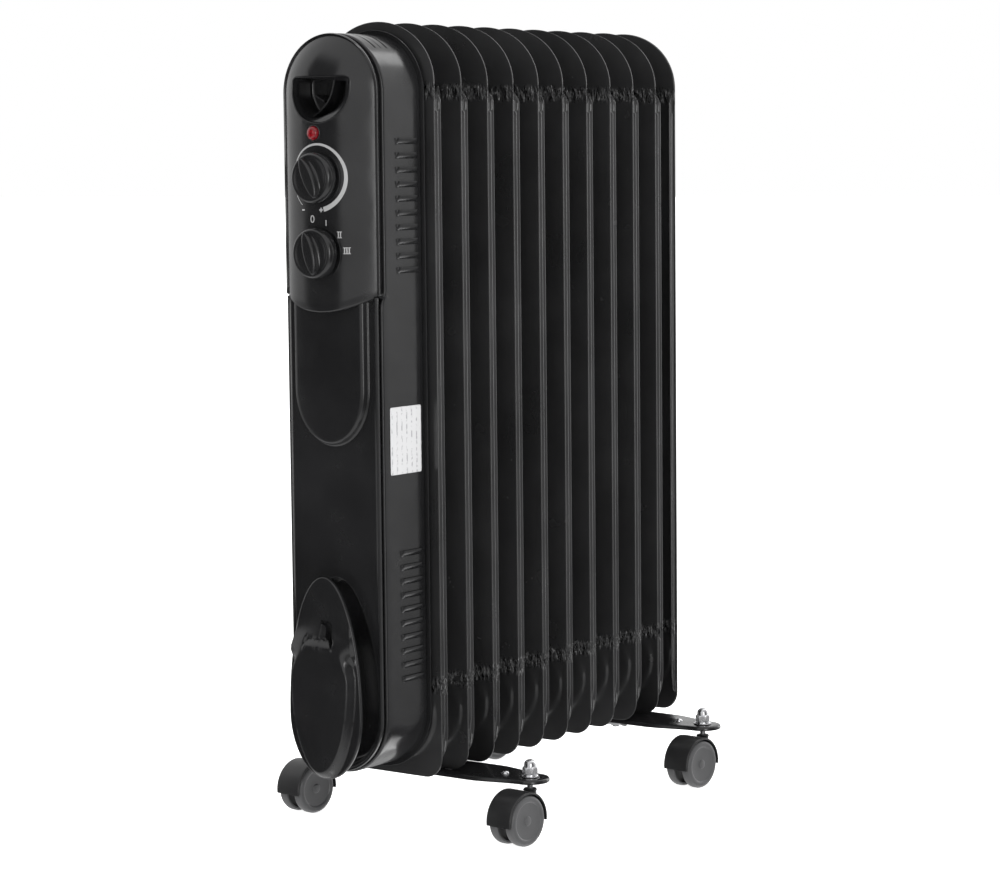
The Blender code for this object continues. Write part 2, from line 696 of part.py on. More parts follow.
def make_clamp(name, clamp_y, metal):
    """A U-bolt over the lower header, and the two wing nuts that pull the foot up to it."""
    low = 40.6 * MM
    route = [(CLAMP_REACH, low)]
    route += ellipse_arc((0.0, BOX_LOW_CENTRE), CLAMP_REACH, CLAMP_REACH, 0, 180, 12)
    route.append((-CLAMP_REACH, low))
    bolt = bent_rod(f"u_bolt_{name}", [(x, clamp_y, z) for x, z in route], CLAMP_RADIUS)
    finish(bolt, metal)
    top = FOOT_TOP - FOOT_SHEET - GAP
    for side, label in ((-1, "left"), (1, "right")):
        nut = add(f"wing_nut_{name}_{label}", rod(5 * MM, 42 * MM, top, 16))
        wings = block((-11.5 * MM, 11.5 * MM), (-MM, MM), (41.5 * MM, 46.8 * MM))
        unite(nut, add("wings", wings))
        cut(nut, add("bore", rod(CLAMP_RADIUS + GAP, low, FOOT_TOP, 14)))
        finish(nut, metal)
        nut.location = (side * CLAMP_REACH, clamp_y, 0.0)


def make_caster(name, x, y, chrome, plastic, tread, steel):
    """Stem and cap nut on the foot; hood that swivels; axle and two wheels that roll."""
    stem = [
        (0.0, 26 * MM),
        (2.2 * MM, 26 * MM),
        (2.2 * MM, 45.6 * MM),
        (4.6 * MM, 45.6 * MM),
        (4.6 * MM, FOOT_TOP - FOOT_SHEET - GAP),
        (STEM_RADIUS, FOOT_TOP - FOOT_SHEET - GAP),
        (STEM_RADIUS, 59.5 * MM),
        (0.0, 60 * MM),
    ]
    add(f"caster_stem_{name}", turned(stem, 12), steel).location = (x, y, 0.0)
    base = FOOT_TOP + GAP
    nut = [
        (3.3 * MM, base),
        (6.4 * MM, base),
        (6.4 * MM, base + 1.4 * MM),
        (5.6 * MM, base + 1.4 * MM),
        (5.6 * MM, base + 6.4 * MM),
        (4.9 * MM, base + 9.4 * MM),
        (3.2 * MM, base + 12.4 * MM),
        (0.0, base + 13.6 * MM),
        (0.0, 60.6 * MM),
        (3.3 * MM, 60.2 * MM),
    ]
    add(f"cap_nut_{name}", turned(nut, 12, loop=True), chrome).location = (x, y, 0.0)

    axle_place = aim("X", (0.0, -CASTER_TRAIL, WHEEL_RADIUS))
    turn = Matrix.Rotation(CASTER_TURN, 4, "Z")
    web = WHEEL_INNER - 0.5 * MM
    clear = WHEEL_RADIUS + 0.8 * MM
    half = HOOD_HALF_LENGTH
    shell = [
        (0.0, -web),
        (clear, -web),
        (clear, -half),
        (HOOD_RADIUS, -half),
        (HOOD_RADIUS, half),
        (clear, half),
        (clear, web),
        (0.0, web),
    ]
    hood = add(f"caster_hood_{name}", turned(shell, 20), place=axle_place)
    wide = (-40 * MM, 40 * MM)
    cut(hood, add("below", block(wide, wide, (-5 * MM, 17.5 * MM))))
    socket = add("socket", rod(5 * MM, 24 * MM, 42 * MM, 16))
    spaces = []
    for side in (-1, 1):
        span = sorted((side * (web - 0.2 * MM), side * 30 * MM))
        spaces.append(add("wheel_space", rod(clear + 0.1 * MM, *span, 20), place=axle_place))
    cut(socket, *spaces)
    hub = rod(6.5 * MM, 0.1 * MM - web, web - 0.1 * MM, 12)
    unite(hood, socket, add("hub", hub, place=axle_place))
    bore = add("bore", rod(2.5 * MM, 25.5 * MM, 50 * MM, 12))
    axle_bore = add("axle_bore", rod(AXLE_RADIUS + GAP, *wide, 12), place=axle_place)
    finish(cut(hood, bore, axle_bore), plastic)
    hood.matrix_world = Matrix.Translation((x, y, 0.0)) @ turn

    place = Matrix.Translation((x, y, 0.0)) @ turn @ axle_place
    axle = add(f"caster_axle_{name}", rod(AXLE_RADIUS, -10.4 * MM, 10.4 * MM, 12), steel)
    axle.matrix_world = place
    wheel = [
        (0.0, WHEEL_FACE),
        (18.2 * MM, WHEEL_FACE),
        (WHEEL_RADIUS, WHEEL_FACE - 1.6 * MM),
        (WHEEL_RADIUS, WHEEL_INNER),
        (17 * MM, WHEEL_INNER),
        (17 * MM, 9.8 * MM),
        (6 * MM, 9.8 * MM),
        (6 * MM, WHEEL_INNER),
        (AXLE_RADIUS + GAP, WHEEL_INNER),
        (AXLE_RADIUS + GAP, 10.8 * MM),
        (0.0, 10.8 * MM),
    ]
    for label, sign in (("inner", -1), ("outer", 1)):
        flip = Matrix.Rotation(math.pi if sign * x < 0 else 0.0, 4, "Y")
        rim = add(f"caster_wheel_{name}_{label}", turned(wheel, 20), tread)
        rim.matrix_world = place @ flip


def main():
    clear_scene()
    gloss_black = material("gloss_black_enamel", (0.012, 0.012, 0.013), 0.25)
    gloss_plastic = material("gloss_black_plastic", (0.014, 0.014, 0.015), 0.2)
    satin_plastic = material("satin_black_plastic", (0.03, 0.03, 0.032), 0.45)
    caster_plastic = material("caster_black_plastic", (0.035, 0.035, 0.037), 0.5)
    caster_tread = material("caster_grey_plastic", (0.2, 0.2, 0.21), 0.5)
    chrome = material("chrome", (0.75, 0.75, 0.77), 0.12, 1.0)
    zinc = material("zinc_plated_steel", (0.5, 0.5, 0.52), 0.35, 1.0)
    red_lens = material("red_lens", (0.45, 0.01, 0.015), 0.1)
    label = material("label_film", (0.75, 0.75, 0.75), 0.4)

    make_fins(gloss_black)
    make_header("header_lower", BOX_LOW_CENTRE, gloss_black)
    make_header("header_upper", BOX_TOP_CENTRE, gloss_black)
    make_heating_element(zinc)
    make_filler_plug(zinc)

    make_control_housing(gloss_black)
    make_heat_shield(gloss_black)
    make_upper_cover(gloss_plastic)
    make_lower_panel(gloss_plastic)
    make_cord_winder(gloss_plastic)
    make_cord_gland(satin_plastic)
    make_knob("thermostat_knob", THERMOSTAT_Z, math.radians(-25), gloss_plastic)
    make_knob("power_knob", SWITCH_Z, math.radians(-15), gloss_plastic)
    make_control_bodies(satin_plastic, zinc)
    make_pilot_lamp(red_lens)
    make_thermal_cutout(zinc)
    make_rating_plate(label)

    for name, clamp_y, side in FOOT_CLAMPS:
        make_foot(name, clamp_y, side, gloss_black)
        make_clamp(name, clamp_y, zinc)
        for hand, x in (("left", -CASTER_X), ("right", CASTER_X)):
            y = clamp_y + side * CASTER_OFFSET
            make_caster(f"{name}_{hand}", x, y, chrome, caster_plastic, caster_tread, zinc)


main()
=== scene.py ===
"""Looks of the oil filled radiator heater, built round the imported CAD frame.

Shapes are made in millimetres with Y = 0 at the front lip of the first section, then scaled
to metres and moved into the frame. X is the width, Z = 0 is the floor.
"""

import math

import bmesh
import bpy
from mathutils import Matrix, Vector


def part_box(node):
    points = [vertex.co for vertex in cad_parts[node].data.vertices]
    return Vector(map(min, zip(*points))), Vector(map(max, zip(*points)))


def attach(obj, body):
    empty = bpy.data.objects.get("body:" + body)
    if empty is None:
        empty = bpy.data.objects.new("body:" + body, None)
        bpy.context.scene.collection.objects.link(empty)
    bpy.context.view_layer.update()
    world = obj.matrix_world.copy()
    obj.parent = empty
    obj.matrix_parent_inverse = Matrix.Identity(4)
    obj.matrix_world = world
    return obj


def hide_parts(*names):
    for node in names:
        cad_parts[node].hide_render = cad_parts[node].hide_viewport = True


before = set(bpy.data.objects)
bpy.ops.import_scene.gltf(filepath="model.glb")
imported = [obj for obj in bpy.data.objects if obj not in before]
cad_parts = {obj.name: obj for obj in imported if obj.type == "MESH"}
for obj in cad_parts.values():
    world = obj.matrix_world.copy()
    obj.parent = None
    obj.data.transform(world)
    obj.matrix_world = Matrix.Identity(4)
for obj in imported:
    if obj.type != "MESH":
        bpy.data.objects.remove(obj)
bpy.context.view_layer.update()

FRONT_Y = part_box("control_housing")[1][1] + 0.005
TO_FRAME = Matrix.Translation((0.0, FRONT_Y, 0.0)) @ Matrix.Diagonal((0.001, 0.001, 0.001, 1.0))
ROOT = "radiator"

# ---------------------------------------------------------------- camera

AZIMUTH, ELEVATION, ROLL = (math.radians(a) for a in (36.0619, 5.4527, -0.5771))
CAMERA_PLACE = (1.39998, FRONT_Y - 1.76608, 0.5305)
FOCAL_LENGTH, SENSOR_WIDTH = 104.7, 36.0


def make_camera():
    level = Vector((math.cos(AZIMUTH), math.sin(AZIMUTH), 0.0))
    flat = Vector((math.sin(AZIMUTH), -math.cos(AZIMUTH), 0.0)) * math.cos(ELEVATION)
    back = flat + Vector((0.0, 0.0, math.sin(ELEVATION)))
    up = back.cross(level)
    cam_x = math.cos(ROLL) * level + math.sin(ROLL) * up
    cam_y = math.cos(ROLL) * up - math.sin(ROLL) * level
    lens = bpy.data.cameras.new("camera")
    lens.lens = FOCAL_LENGTH
    lens.sensor_width = SENSOR_WIDTH
    lens.clip_end = 50.0
    camera = bpy.data.objects.new("camera", lens)
    turn = Matrix((cam_x, cam_y, back)).transposed().to_4x4()
    camera.matrix_world = Matrix.Translation(CAMERA_PLACE) @ turn
    bpy.context.collection.objects.link(camera)
    bpy.context.scene.camera = camera


make_camera()

# ---------------------------------------------------------------- materials

COAT_ROUGHNESS, SMUDGE = 0.06, 0.08
BLACK = (0.0085, 0.0085, 0.009)
PUCKER_LEVELS = (0.581, 0.124)
ORANGE_PEEL = (620.0, 0.00004, 0.5)


class Kit:
    """Adds nodes to a material or world. A socket takes a constant or another node's output."""

    def __init__(self, owner, coordinates="Object"):
        owner.use_nodes = True
        self.nodes, self.links = owner.node_tree.nodes, owner.node_tree.links
        self.spot = self.add("TexCoord", {}).outputs[coordinates]

    def set(self, socket, value):
        if isinstance(value, bpy.types.NodeSocket):
            self.links.new(value, socket)
        else:
            socket.default_value = value

    def add(self, kind, sockets, **settings):
        node = self.nodes.new("ShaderNode" + kind)
        for key, value in settings.items():
            setattr(node, key, value)
        for key, value in sockets.items():
            self.set(node.inputs[key], value)
        return node

    def math(self, operation, first, second=0.0):
        return self.add("Math", {0: first, 1: second}, operation=operation).outputs[0]

    def axes(self):
        split = self.add("SeparateXYZ", {"Vector": self.spot})
        return [split.outputs[axis] for axis in "XYZ"]

    def noise(self, scale, detail=3.0, stretch=(1.0, 1.0, 1.0)):
        """A noise pattern whose features are about 1/scale metres across."""
        place = self.add("Mapping", {"Vector": self.spot, "Scale": stretch}).outputs["Vector"]
        sockets = {"Vector": place, "Scale": scale, "Detail": detail}
        return self.add("TexNoise", sockets).outputs["Fac"]

    def ranged(self, value, low, high, in_low=0.3, in_high=0.7):
        sockets = {"Value": value, "To Min": low, "To Max": high}
        sockets |= {"From Min": in_low, "From Max": in_high}
        return self.add("MapRange", sockets).outputs["Result"]

    def between(self, value, begin, end, soft, height):
        """The height between two limits and nothing outside them, with soft ends."""
        rise = self.ranged(value, 0.0, height, begin - soft, begin + soft)
        return self.math("MULTIPLY", rise, self.ranged(value, 1.0, 0.0, end - soft, end + soft))

    def blend(self, factor, dark, light):
        sockets = {"Factor": factor, "A": (*dark, 1.0), "B": (*light, 1.0)}
        return self.add("Mix", sockets, data_type="RGBA").outputs["Result"]

    def bump(self, heights):
        """Chains bumps from (height socket, distance in metres, strength) into the shader."""
        normal = {}
        for height, distance, strength in heights:
            sockets = {"Height": height, "Distance": distance, "Strength": strength}
            normal = {"Normal": self.add("Bump", sockets | normal).outputs["Normal"]}
        for socket in normal.values():
            self.links.new(socket, self.nodes["Principled BSDF"].inputs["Normal"])


def new_material(name, color, roughness, metallic=0.0, coat=0.0):
    """A Principled material, its node kit and its shader's sockets."""
    made = bpy.data.materials.new(name)
    kit = Kit(made)
    sockets = kit.nodes["Principled BSDF"].inputs
    values = {"Base Color": (*color, 1.0), "Roughness": roughness, "Metallic": metallic}
    for key, value in (values | {"Coat Weight": coat, "Coat Roughness": COAT_ROUGHNESS}).items():
        sockets[key].default_value = value
    return made, kit, sockets


def surface(name, color, roughness, *bumps, coat=0.0, tone=0.25):
    """Colour that drifts a little, smudged roughness, and bumps from (scale, distance, strength)."""
    made, kit, sockets = new_material(name, color, roughness, coat=coat)
    dark = tuple(c * (1 - tone) for c in color)
    light = tuple(min(c * (1 + tone), 1.0) for c in color)
    drift = kit.ranged(kit.noise(14.0, 4.0), 0.0, 1.0)
    kit.set(sockets["Base Color"], kit.blend(drift, dark, light))
    low, high = max(roughness - SMUDGE, 0.02), roughness + SMUDGE
    kit.set(sockets["Roughness"], kit.ranged(kit.noise(45.0, 5.0), low, high))
    kit.bump([(kit.noise(scale, 2.0), distance, strength) for scale, distance, strength in bumps])
    return made


def make_fin_enamel():
    """The sections' enamel, with upright draw marks and puckers where the bosses were pressed."""
    made = surface("enamel_sections", (0.02, 0.02, 0.0205), 0.2, coat=0.1)
    kit = Kit(made)
    height = kit.axes()[2]
    near = []
    for level in PUCKER_LEVELS:
        away = kit.math("ABSOLUTE", kit.math("SUBTRACT", height, level))
        near.append(kit.ranged(away, 1.0, 0.0, 0.001, 0.008))
    folds = kit.ranged(kit.noise(230.0, 2.0, (1.0, 1.0, 0.4)), -0.5, 0.5)
    pucker = kit.math("MULTIPLY", folds, kit.math("MAXIMUM", *near))
    streak = kit.noise(120.0, 2.0, (1.0, 1.0, 0.06))
    scale, distance, strength = ORANGE_PEEL
    peel = (kit.noise(scale, 2.0), distance, strength)
    kit.bump([(pucker, 0.0045, 1.0), (streak, 0.0006, 0.5), peel])
    return made


def make_brushed(name, color, roughness, stretch):
    """Plated or drawn steel with fine lines along one direction."""
    made, kit, sockets = new_material(name, color, roughness, metallic=1.0)
    lines = kit.noise(700.0, 3.0, stretch)
    kit.set(sockets["Roughness"], kit.ranged(lines, roughness - 0.08, roughness + 0.12))
    stain = kit.ranged(kit.noise(160.0, 4.0), 0.0, 1.0)
    kit.set(sockets["Base Color"], kit.blend(stain, tuple(c * 0.72 for c in color), color))
    kit.bump([(lines, 0.00006, 0.6)])
    return made


def make_label():
    """Silver-white film with faint upright printed rules."""
    color, ink = (0.5, 0.5, 0.505), (0.27, 0.27, 0.28)
    made, kit, sockets = new_material("label_film", color, 0.34)
    bands = {"Vector": kit.spot, "Scale": 52.0, "Distortion": 0.0}
    wave = kit.add("TexWave", bands, wave_type="BANDS", bands_direction="Y")
    thin = kit.ranged(wave.outputs["Fac"], 0.0, 1.0, 0.03, 0.22)
    broken = kit.ranged(kit.noise(340.0, 2.0), 0.0, 1.0, 0.42, 0.5)
    kit.set(sockets["Base Color"], kit.blend(kit.math("MAXIMUM", thin, broken), ink, color))
    fibre = kit.noise(900.0, 2.0)
    kit.set(sockets["Roughness"], kit.ranged(fibre, 0.28, 0.42))
    kit.bump([(fibre, 0.00003, 0.5)])
    return made


def make_lens():
    """Clear red acrylic with a prismatic inside."""
    made, kit, sockets = new_material("red_lens", (0.2, 0.004, 0.008), 0.08, coat=0.2)
    cells = kit.add("TexVoronoi", {"Vector": kit.spot, "Scale": 620.0}).outputs["Distance"]
    factor = kit.ranged(cells, 0.0, 1.0, 0.1, 0.7)
    kit.set(sockets["Base Color"], kit.blend(factor, (0.2, 0.005, 0.01), (0.09, 0.001, 0.003)))
    kit.set(sockets["Roughness"], kit.ranged(kit.noise(400.0, 3.0), 0.05, 0.13))
    kit.bump([(cells, 0.0002, 0.25)])
    return made


# Each finish is a material with the name of the slot that it stands for.
SHEET_WAVES, MOULD_WAVES, MOULD_GRAIN = (28.0, 0.0012, 0.35), (34.0, 0.0007, 0.25), (900.0, 3e-5, 0.4)
ENAMEL = surface("enamel_box", BLACK, 0.2, SHEET_WAVES, ORANGE_PEEL, coat=0.1), "black_enamel"
ENAMEL_FINS = make_fin_enamel(), "black_enamel"
GLOSS_PAINT = surface("gloss_plastic", BLACK, 0.2, MOULD_WAVES, MOULD_GRAIN, coat=0.1)
GLOSS = GLOSS_PAINT, "black_gloss_plastic"
SATIN_PAINT = surface("satin_plastic", (0.02, 0.02, 0.021), 0.42, (1500.0, 5e-5, 0.7))
SATIN = SATIN_PAINT, "black_satin_plastic"
HOOD_PAINT = surface("caster_hood_nylon", (0.012, 0.012, 0.0125), 0.36, (1300.0, 6e-5, 0.7))
WHEEL_PAINT = surface("caster_wheel_nylon", (0.06, 0.06, 0.062), 0.4, (1300.0, 5e-5, 0.7), tone=0.12)
NYLON, GREY = (HOOD_PAINT, "caster_black"), (WHEEL_PAINT, "caster_grey")
SILVER = surface("dial_print", (0.3, 0.3, 0.3), 0.45, (1800.0, 3e-5, 0.6), tone=0.1), "label_film"
NICKEL = make_brushed("nickel_plate", (0.72, 0.72, 0.74), 0.16, (1.0, 1.0, 0.3))
CHROME, BRIGHT_STEEL = (NICKEL, "chrome"), (NICKEL, "zinc_steel")
ZINC = make_brushed("zinc_plate", (0.46, 0.46, 0.47), 0.34, (0.25, 1.0, 1.0)), "zinc_steel"
TIN = make_brushed("zinc_sheet", (0.5, 0.5, 0.51), 0.3, (1.0, 0.08, 1.0)), "zinc_steel"
LENS = make_lens(), "red_lens"
LABEL = make_label(), "label_film"


# ---------------------------------------------------------------- mesh helpers


def mesh_object(name, bm):
    """An object in the frame from a bmesh in local millimetres."""
    bmesh.ops.remove_doubles(bm, verts=bm.verts, dist=1e-4)
    bm.transform(TO_FRAME)
    bmesh.ops.recalc_face_normals(bm, faces=bm.faces)
    mesh = bpy.data.meshes.new(name)
    bm.to_mesh(mesh)
    bm.free()
    obj = bpy.data.objects.new(name, mesh)
    bpy.context.collection.objects.link(obj)
    return obj


def shade(obj, sharp):
    """Smooth shading, with edges sharp from an angle in degrees."""
    obj.data.shade_smooth()
    obj.data.set_sharp_from_angle(angle=math.radians(sharp))


def piece(name, bm, finish, node=None, body=ROOT, sharp=38.0):
    """A piece of the visual model, which may stand for a CAD node."""
    obj = mesh_object(name, bm)
    paint, slot = finish
    obj.data.materials.append(paint)
    shade(obj, sharp)
    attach(obj, body)
    if node:
        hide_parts(node)
    return obj


def bake(obj):
    graph = bpy.context.evaluated_depsgraph_get()
    mesh = bpy.data.meshes.new_from_object(obj.evaluated_get(graph))
    obj.modifiers.clear()
    obj.data = mesh


def thicken(obj, thickness):
    """Gives a sheet its thickness in millimetres, behind the side that its normals face."""
    sheet = obj.modifiers.new("sheet", "SOLIDIFY")
    sheet.thickness = thickness / 1000
    sheet.offset = -1.0
    bake(obj)


def cut(obj, sharp, *tools):
    tools = [mesh_object("tool", bm) for bm in tools]
    for tool in tools:
        modifier = obj.modifiers.new("cut", "BOOLEAN")
        modifier.operation = "DIFFERENCE"
        modifier.object = tool
    bake(obj)
    for tool in tools:
        bpy.data.objects.remove(tool, do_unlink=True)
    shade(obj, sharp)


def skin(bm, rings, closed=True):
    """Quads between rings of equally many points. Returns the rings as vertices."""
    rows = [[bm.verts.new(p) for p in ring] for ring in rings]
    for one, two in zip(rows, rows[1:]):
        count = len(one)
        for step in range(count if closed else count - 1):
            after = (step + 1) % count
            bm.faces.new((one[step], one[after], two[after], two[step]))
    return rows


def solid(rings):
    """A closed shape from rings, with flat ends."""
    bm = bmesh.new()
    rows = skin(bm, rings)
    bm.faces.new(rows[0])
    bm.faces.new(reversed(rows[-1]))
    return bm


def cup(inner, outer):
    """An open vessel from the rings of its inner and outer skin, which share their first ring."""
    bm = bmesh.new()
    for rings in (inner, [inner[0]] + outer):
        bm.faces.new(skin(bm, rings)[-1])
    return bm


def prism(outline, *levels):
    """An (x, z) outline drawn out along Y."""
    return solid([[(u, y, v) for u, v in outline] for y in levels])


def lathe(profile, segments, *steps):
    """Turns (radius, along) points about Z, then moves the shape. A closed profile repeats a point."""
    bm = bmesh.new()
    turn = [2 * math.pi * step / segments for step in range(segments)]
    rings = []
    for radius, along in profile:
        if radius == 0.0:
            rings.append([bm.verts.new((0.0, 0.0, along))] * segments)
        else:
            spots = [(radius * math.cos(a), radius * math.sin(a), along) for a in turn]
            rings.append([bm.verts.new(spot) for spot in spots])
    for one, two in zip(rings, rings[1:]):
        for step in range(segments):
            after = (step + 1) % segments
            corners = list(dict.fromkeys((one[step], one[after], two[after], two[step])))
            if len(corners) > 2:
                bm.faces.new(corners)
    return moved(bm, *steps)


def moved(bm, *steps):
    for step in steps:
        bm.transform(step)
    return bm


def merge(target, extra):
    mesh = bpy.data.meshes.new("part")
    extra.to_mesh(mesh)
    extra.free()
    target.from_mesh(mesh)
    bpy.data.meshes.remove(mesh)
    return target


def shift(x, y, z):
    return Matrix.Translation((x, y, z))


# Turns a shape made about Z so that its +Z end points to -Y, towards the control panel.
FACE_FRONT = Matrix.Rotation(math.pi / 2, 4, "X")
# The same for the +X side.
FACE_SIDE = Matrix.Rotation(math.pi / 2, 4, "Y")


def arc(centre, across, along, start, stop, steps):
    found = []
    for step in range(steps + 1):
        angle = math.radians(start + (stop - start) * step / steps)
        found.append((centre[0] + across * math.cos(angle), centre[1] + along * math.sin(angle)))
    return found


def egg(half, centre, down, up, steps):
    """Two half-ellipses that share their width."""
    upper = arc((0.0, centre), half, up, 0, 180, steps)
    return upper + arc((0.0, centre), half, down, 180, 360, steps)[1:-1]


def inward(outline, distance):
    """The outline pulled in along its own normals. It runs anticlockwise."""
    found = []
    count = len(outline)
    for step, (u, v) in enumerate(outline):
        before, after = outline[step - 1], outline[(step + 1) % count]
        along = Vector((after[0] - before[0], after[1] - before[1])).normalized()
        found.append((u - along.y * distance, v + along.x * distance))
    return found


def plate_rings(outline, profile):
    """Rings from (inset, y) pairs round an (x, z) outline."""
    return [[(u, y, v) for u, v in inward(outline, inset)] for inset, y in profile]


def headings(points):
    """Each (x, z) of an open line with the line's direction there."""
    for index, (x, z) in enumerate(points):
        ahead = points[min(index + 1, len(points) - 1)]
        behind = points[max(index - 1, 0)]
        yield x, z, Vector((ahead[0] - behind[0], ahead[1] - behind[1])).normalized()


def tube(points, radius, segments):
    """A round bar along 3-D points."""
    spots = [Vector(p) for p in points]
    rings = []
    side = None
    for index, spot in enumerate(spots):
        ahead = spots[min(index + 1, len(spots) - 1)] - spots[max(index - 1, 0)]
        ahead.normalize()
        if side is None:
            side = ahead.orthogonal().normalized()
        side = (side - ahead * side.dot(ahead)).normalized()
        other = ahead.cross(side)
        turn = [2 * math.pi * step / segments for step in range(segments)]
        rings.append([spot + radius * (math.cos(a) * side + math.sin(a) * other) for a in turn])
    return solid(rings)


def smooth(value, low, high):
    """Rises from 0 to 1 between two limits, with soft ends."""
    share = min(max((value - low) / (high - low), 0.0), 1.0)
    return share * share * (3 - 2 * share)


# ---------------------------------------------------------------- sections

FIN_HALF, FIN_LOW, FIN_TOP, SPRING, CORNER = 55.0, 51.0, 635.0, 588.0, 16.0
FIN_PITCH, FIN_COUNT, SHEETS, LAST_PLANE = 34.2, 11, 0.8, 338.7
# The last section is turned round, with its weld plane at the very end of the row.
PLANES = [SHEETS + FIN_PITCH * index for index in range(FIN_COUNT - 1)] + [LAST_PLANE]
# The roll of the flange stops at the hook, and its lip runs out above that.
HOOK, LIP_FADE, LIP_TOP = 568.0, 574.0, 586.0
FACE_OFFSET, BEAD_DEPTH, SIDE_BEAD, SIDE_BEAD_WIDTH, MIDDLE_BEAD_WIDTH = 0.85, 1.2, 26.0, 3.2, 4.0
# (inset, y) over the rim. The front lip is the same all round.
FRONT_RIM = ((0.0, -0.55), (0.15, -0.75), (0.5, -0.81), (1.4, -0.83), (2.6, -0.84))
# To the rear: the turned flange with its roll, and the plain edge.
FLANGED = (
    (0.22, 0.45), (0.8, 0.55), (1.6, 0.75), (1.7, 1.0), (1.2, 1.8), (0.6, 2.6), (0.1, 3.2),
    (0.0, 3.4), (0.24, 4.6), (0.6, 4.8), (0.9, 5.1), (0.85, 5.6), (0.6, 6.4), (0.35, 7.3),
    (0.25, 7.6), (0.36, 8.2), (1.0, 8.3), (1.9, 7.2), (2.1, 3.6), (2.3, 1.8), (2.6, 0.9),
)
VALLEY_INSET = 1.7
PLAIN = tuple((0.2 + 0.12 * step, min(0.5 + 0.12 * step, 0.82)) for step in range(21))
INSETS = (3.2, 3.9, 4.5, 5.1, 5.8, 6.6, 7.6, 9.0, 10.6, 12.4, 14.4)
FIELD_HALF, FIELD_LOW, FIELD_CORNER, FIELD_RISE = 50.6, 63.0, 38.0, 1.75
ACROSS = (1.0, 0.96, 0.92, 0.88, 0.84, 0.8, 0.76, 0.72, 0.68, 0.64, 0.6, 0.5, 0.36, 0.18, 0.0)


def fin_stations():
    """(x, z, inset direction) down the right half of a section's edge, apex to bottom corner."""
    found = []
    for step in range(31):
        angle = math.pi / 2 * (1 - step / 30)
        x, z = FIN_HALF * math.cos(angle), SPRING + (FIN_TOP - SPRING) * math.sin(angle)
        normal = Vector((x / FIN_HALF**2, (z - SPRING) / (FIN_TOP - SPRING) ** 2)).normalized()
        found.append((x, z, -normal))
    heights = [586, 584, 581, 578, 575, 572, 570, 569, 568, 567, 566, 565, 563, 560, 555]
    heights += [550 - step * 20.5 for step in range(21)] + [134 - step * 2.75 for step in range(25)]
    found += [(FIN_HALF, z, Vector((-1.0, 0.0))) for z in heights]
    for step in range(9):
        angle = -math.pi / 2 * step / 8
        out = Vector((math.cos(angle), math.sin(angle)))
        centre = Vector((FIN_HALF - CORNER, FIN_LOW + CORNER))
        spot = centre + CORNER * out
        found.append((spot.x, spot.y, -out))
    return found


def rim_point(step, z):
    """One (inset, y) of the rear side of the rim at a height."""
    low = min(max((z - 67.0) / 22.0, 0.0), 1.0)
    lip = math.sqrt(1.0 - (1.0 - low) ** 2) * (1.0 - smooth(z, LIP_FADE, LIP_TOP))
    roll = (1.0 - smooth(z, HOOK - 3.0, HOOK)) * smooth(z, 76.0, 96.0)
    (inset, y), (plain_inset, plain_y) = FLANGED[step], PLAIN[step]
    if 2.5 < y < 6.5 and inset < VALLEY_INSET:
        inset = VALLEY_INSET + (inset - VALLEY_INSET) * roll
    return plain_inset + (inset - plain_inset) * lip, plain_y + (y - plain_y) * lip


def relief(x, z):
    """Half the thickness inside the rim: a pressed field that fades out towards the arch."""
    u, v = abs(x) - (FIELD_HALF - FIELD_CORNER), FIELD_LOW + FIELD_CORNER - z
    away = math.hypot(max(u, 0.0), max(v, 0.0)) + min(max(u, v), 0.0) - FIELD_CORNER
    ramp = 2.6 + 24.0 * smooth(z, 96.0, 140.0)
    rise = FIELD_RISE * smooth(-away, -0.4, ramp) * (1.0 - smooth(z, 556.0, 622.0))
    inside = smooth(z, 150.0, 172.0) * (1.0 - smooth(z, 512.0, 534.0))
    bead = math.exp(-(((abs(x) - SIDE_BEAD) / SIDE_BEAD_WIDTH) ** 2))
    bead += math.exp(-((x / MIDDLE_BEAD_WIDTH) ** 2))
    return FACE_OFFSET + rise - BEAD_DEPTH * inside * bead


def fin_row(x, z, inside, front):
    """Points across a section at one station, from its right edge to its left."""
    rim = FRONT_RIM
    if not front:
        rim = [FRONT_RIM[0]] + [rim_point(step, z) for step in range(len(FLANGED))]
    half = [(x + inside.x * inset, y, z + inside.y * inset) for inset, y in rim]
    side = -1.0 if front else 1.0
    for inset in INSETS:
        u, v = x + inside.x * inset, z + inside.y * inset
        half.append((u, side * relief(u, v), v))
    reach, _, level = half[-1]
    half += [(reach * share, side * relief(reach * share, level), level) for share in ACROSS[1:]]
    return half + [(-u, y, v) for u, y, v in reversed(half[:-1])]


def fin_shape():
    """One section in millimetres, with its weld plane at Y = 0."""
    stations = fin_stations()
    bm = bmesh.new()
    for front in (True, False):
        side = -1.0 if front else 1.0
        points = [fin_row(*station, front) for station in stations]
        grid = skin(bm, points, closed=False)
        # The bottom edge: strips below the field, between the two corners.
        inner = len(points[-1]) // 2 - len(ACROSS) + 1
        previous = grid[-1][inner : len(grid[-1]) - inner]
        across = [v.co.x for v in previous]
        for step in range(inner - 1, -1, -1):
            _, y, z = points[-1][step]
            flat = step < inner - len(INSETS) + 1
            strip = [bm.verts.new((u, y if flat else side * relief(u, z), z)) for u in across]
            for a, b, c, d in zip(previous, previous[1:], strip[1:], strip):
                bm.faces.new((a, b, c, d))
            previous = strip
    bmesh.ops.remove_doubles(bm, verts=bm.verts, dist=1e-3)
    bmesh.ops.dissolve_degenerate(bm, edges=bm.edges, dist=1e-4)
    return bm


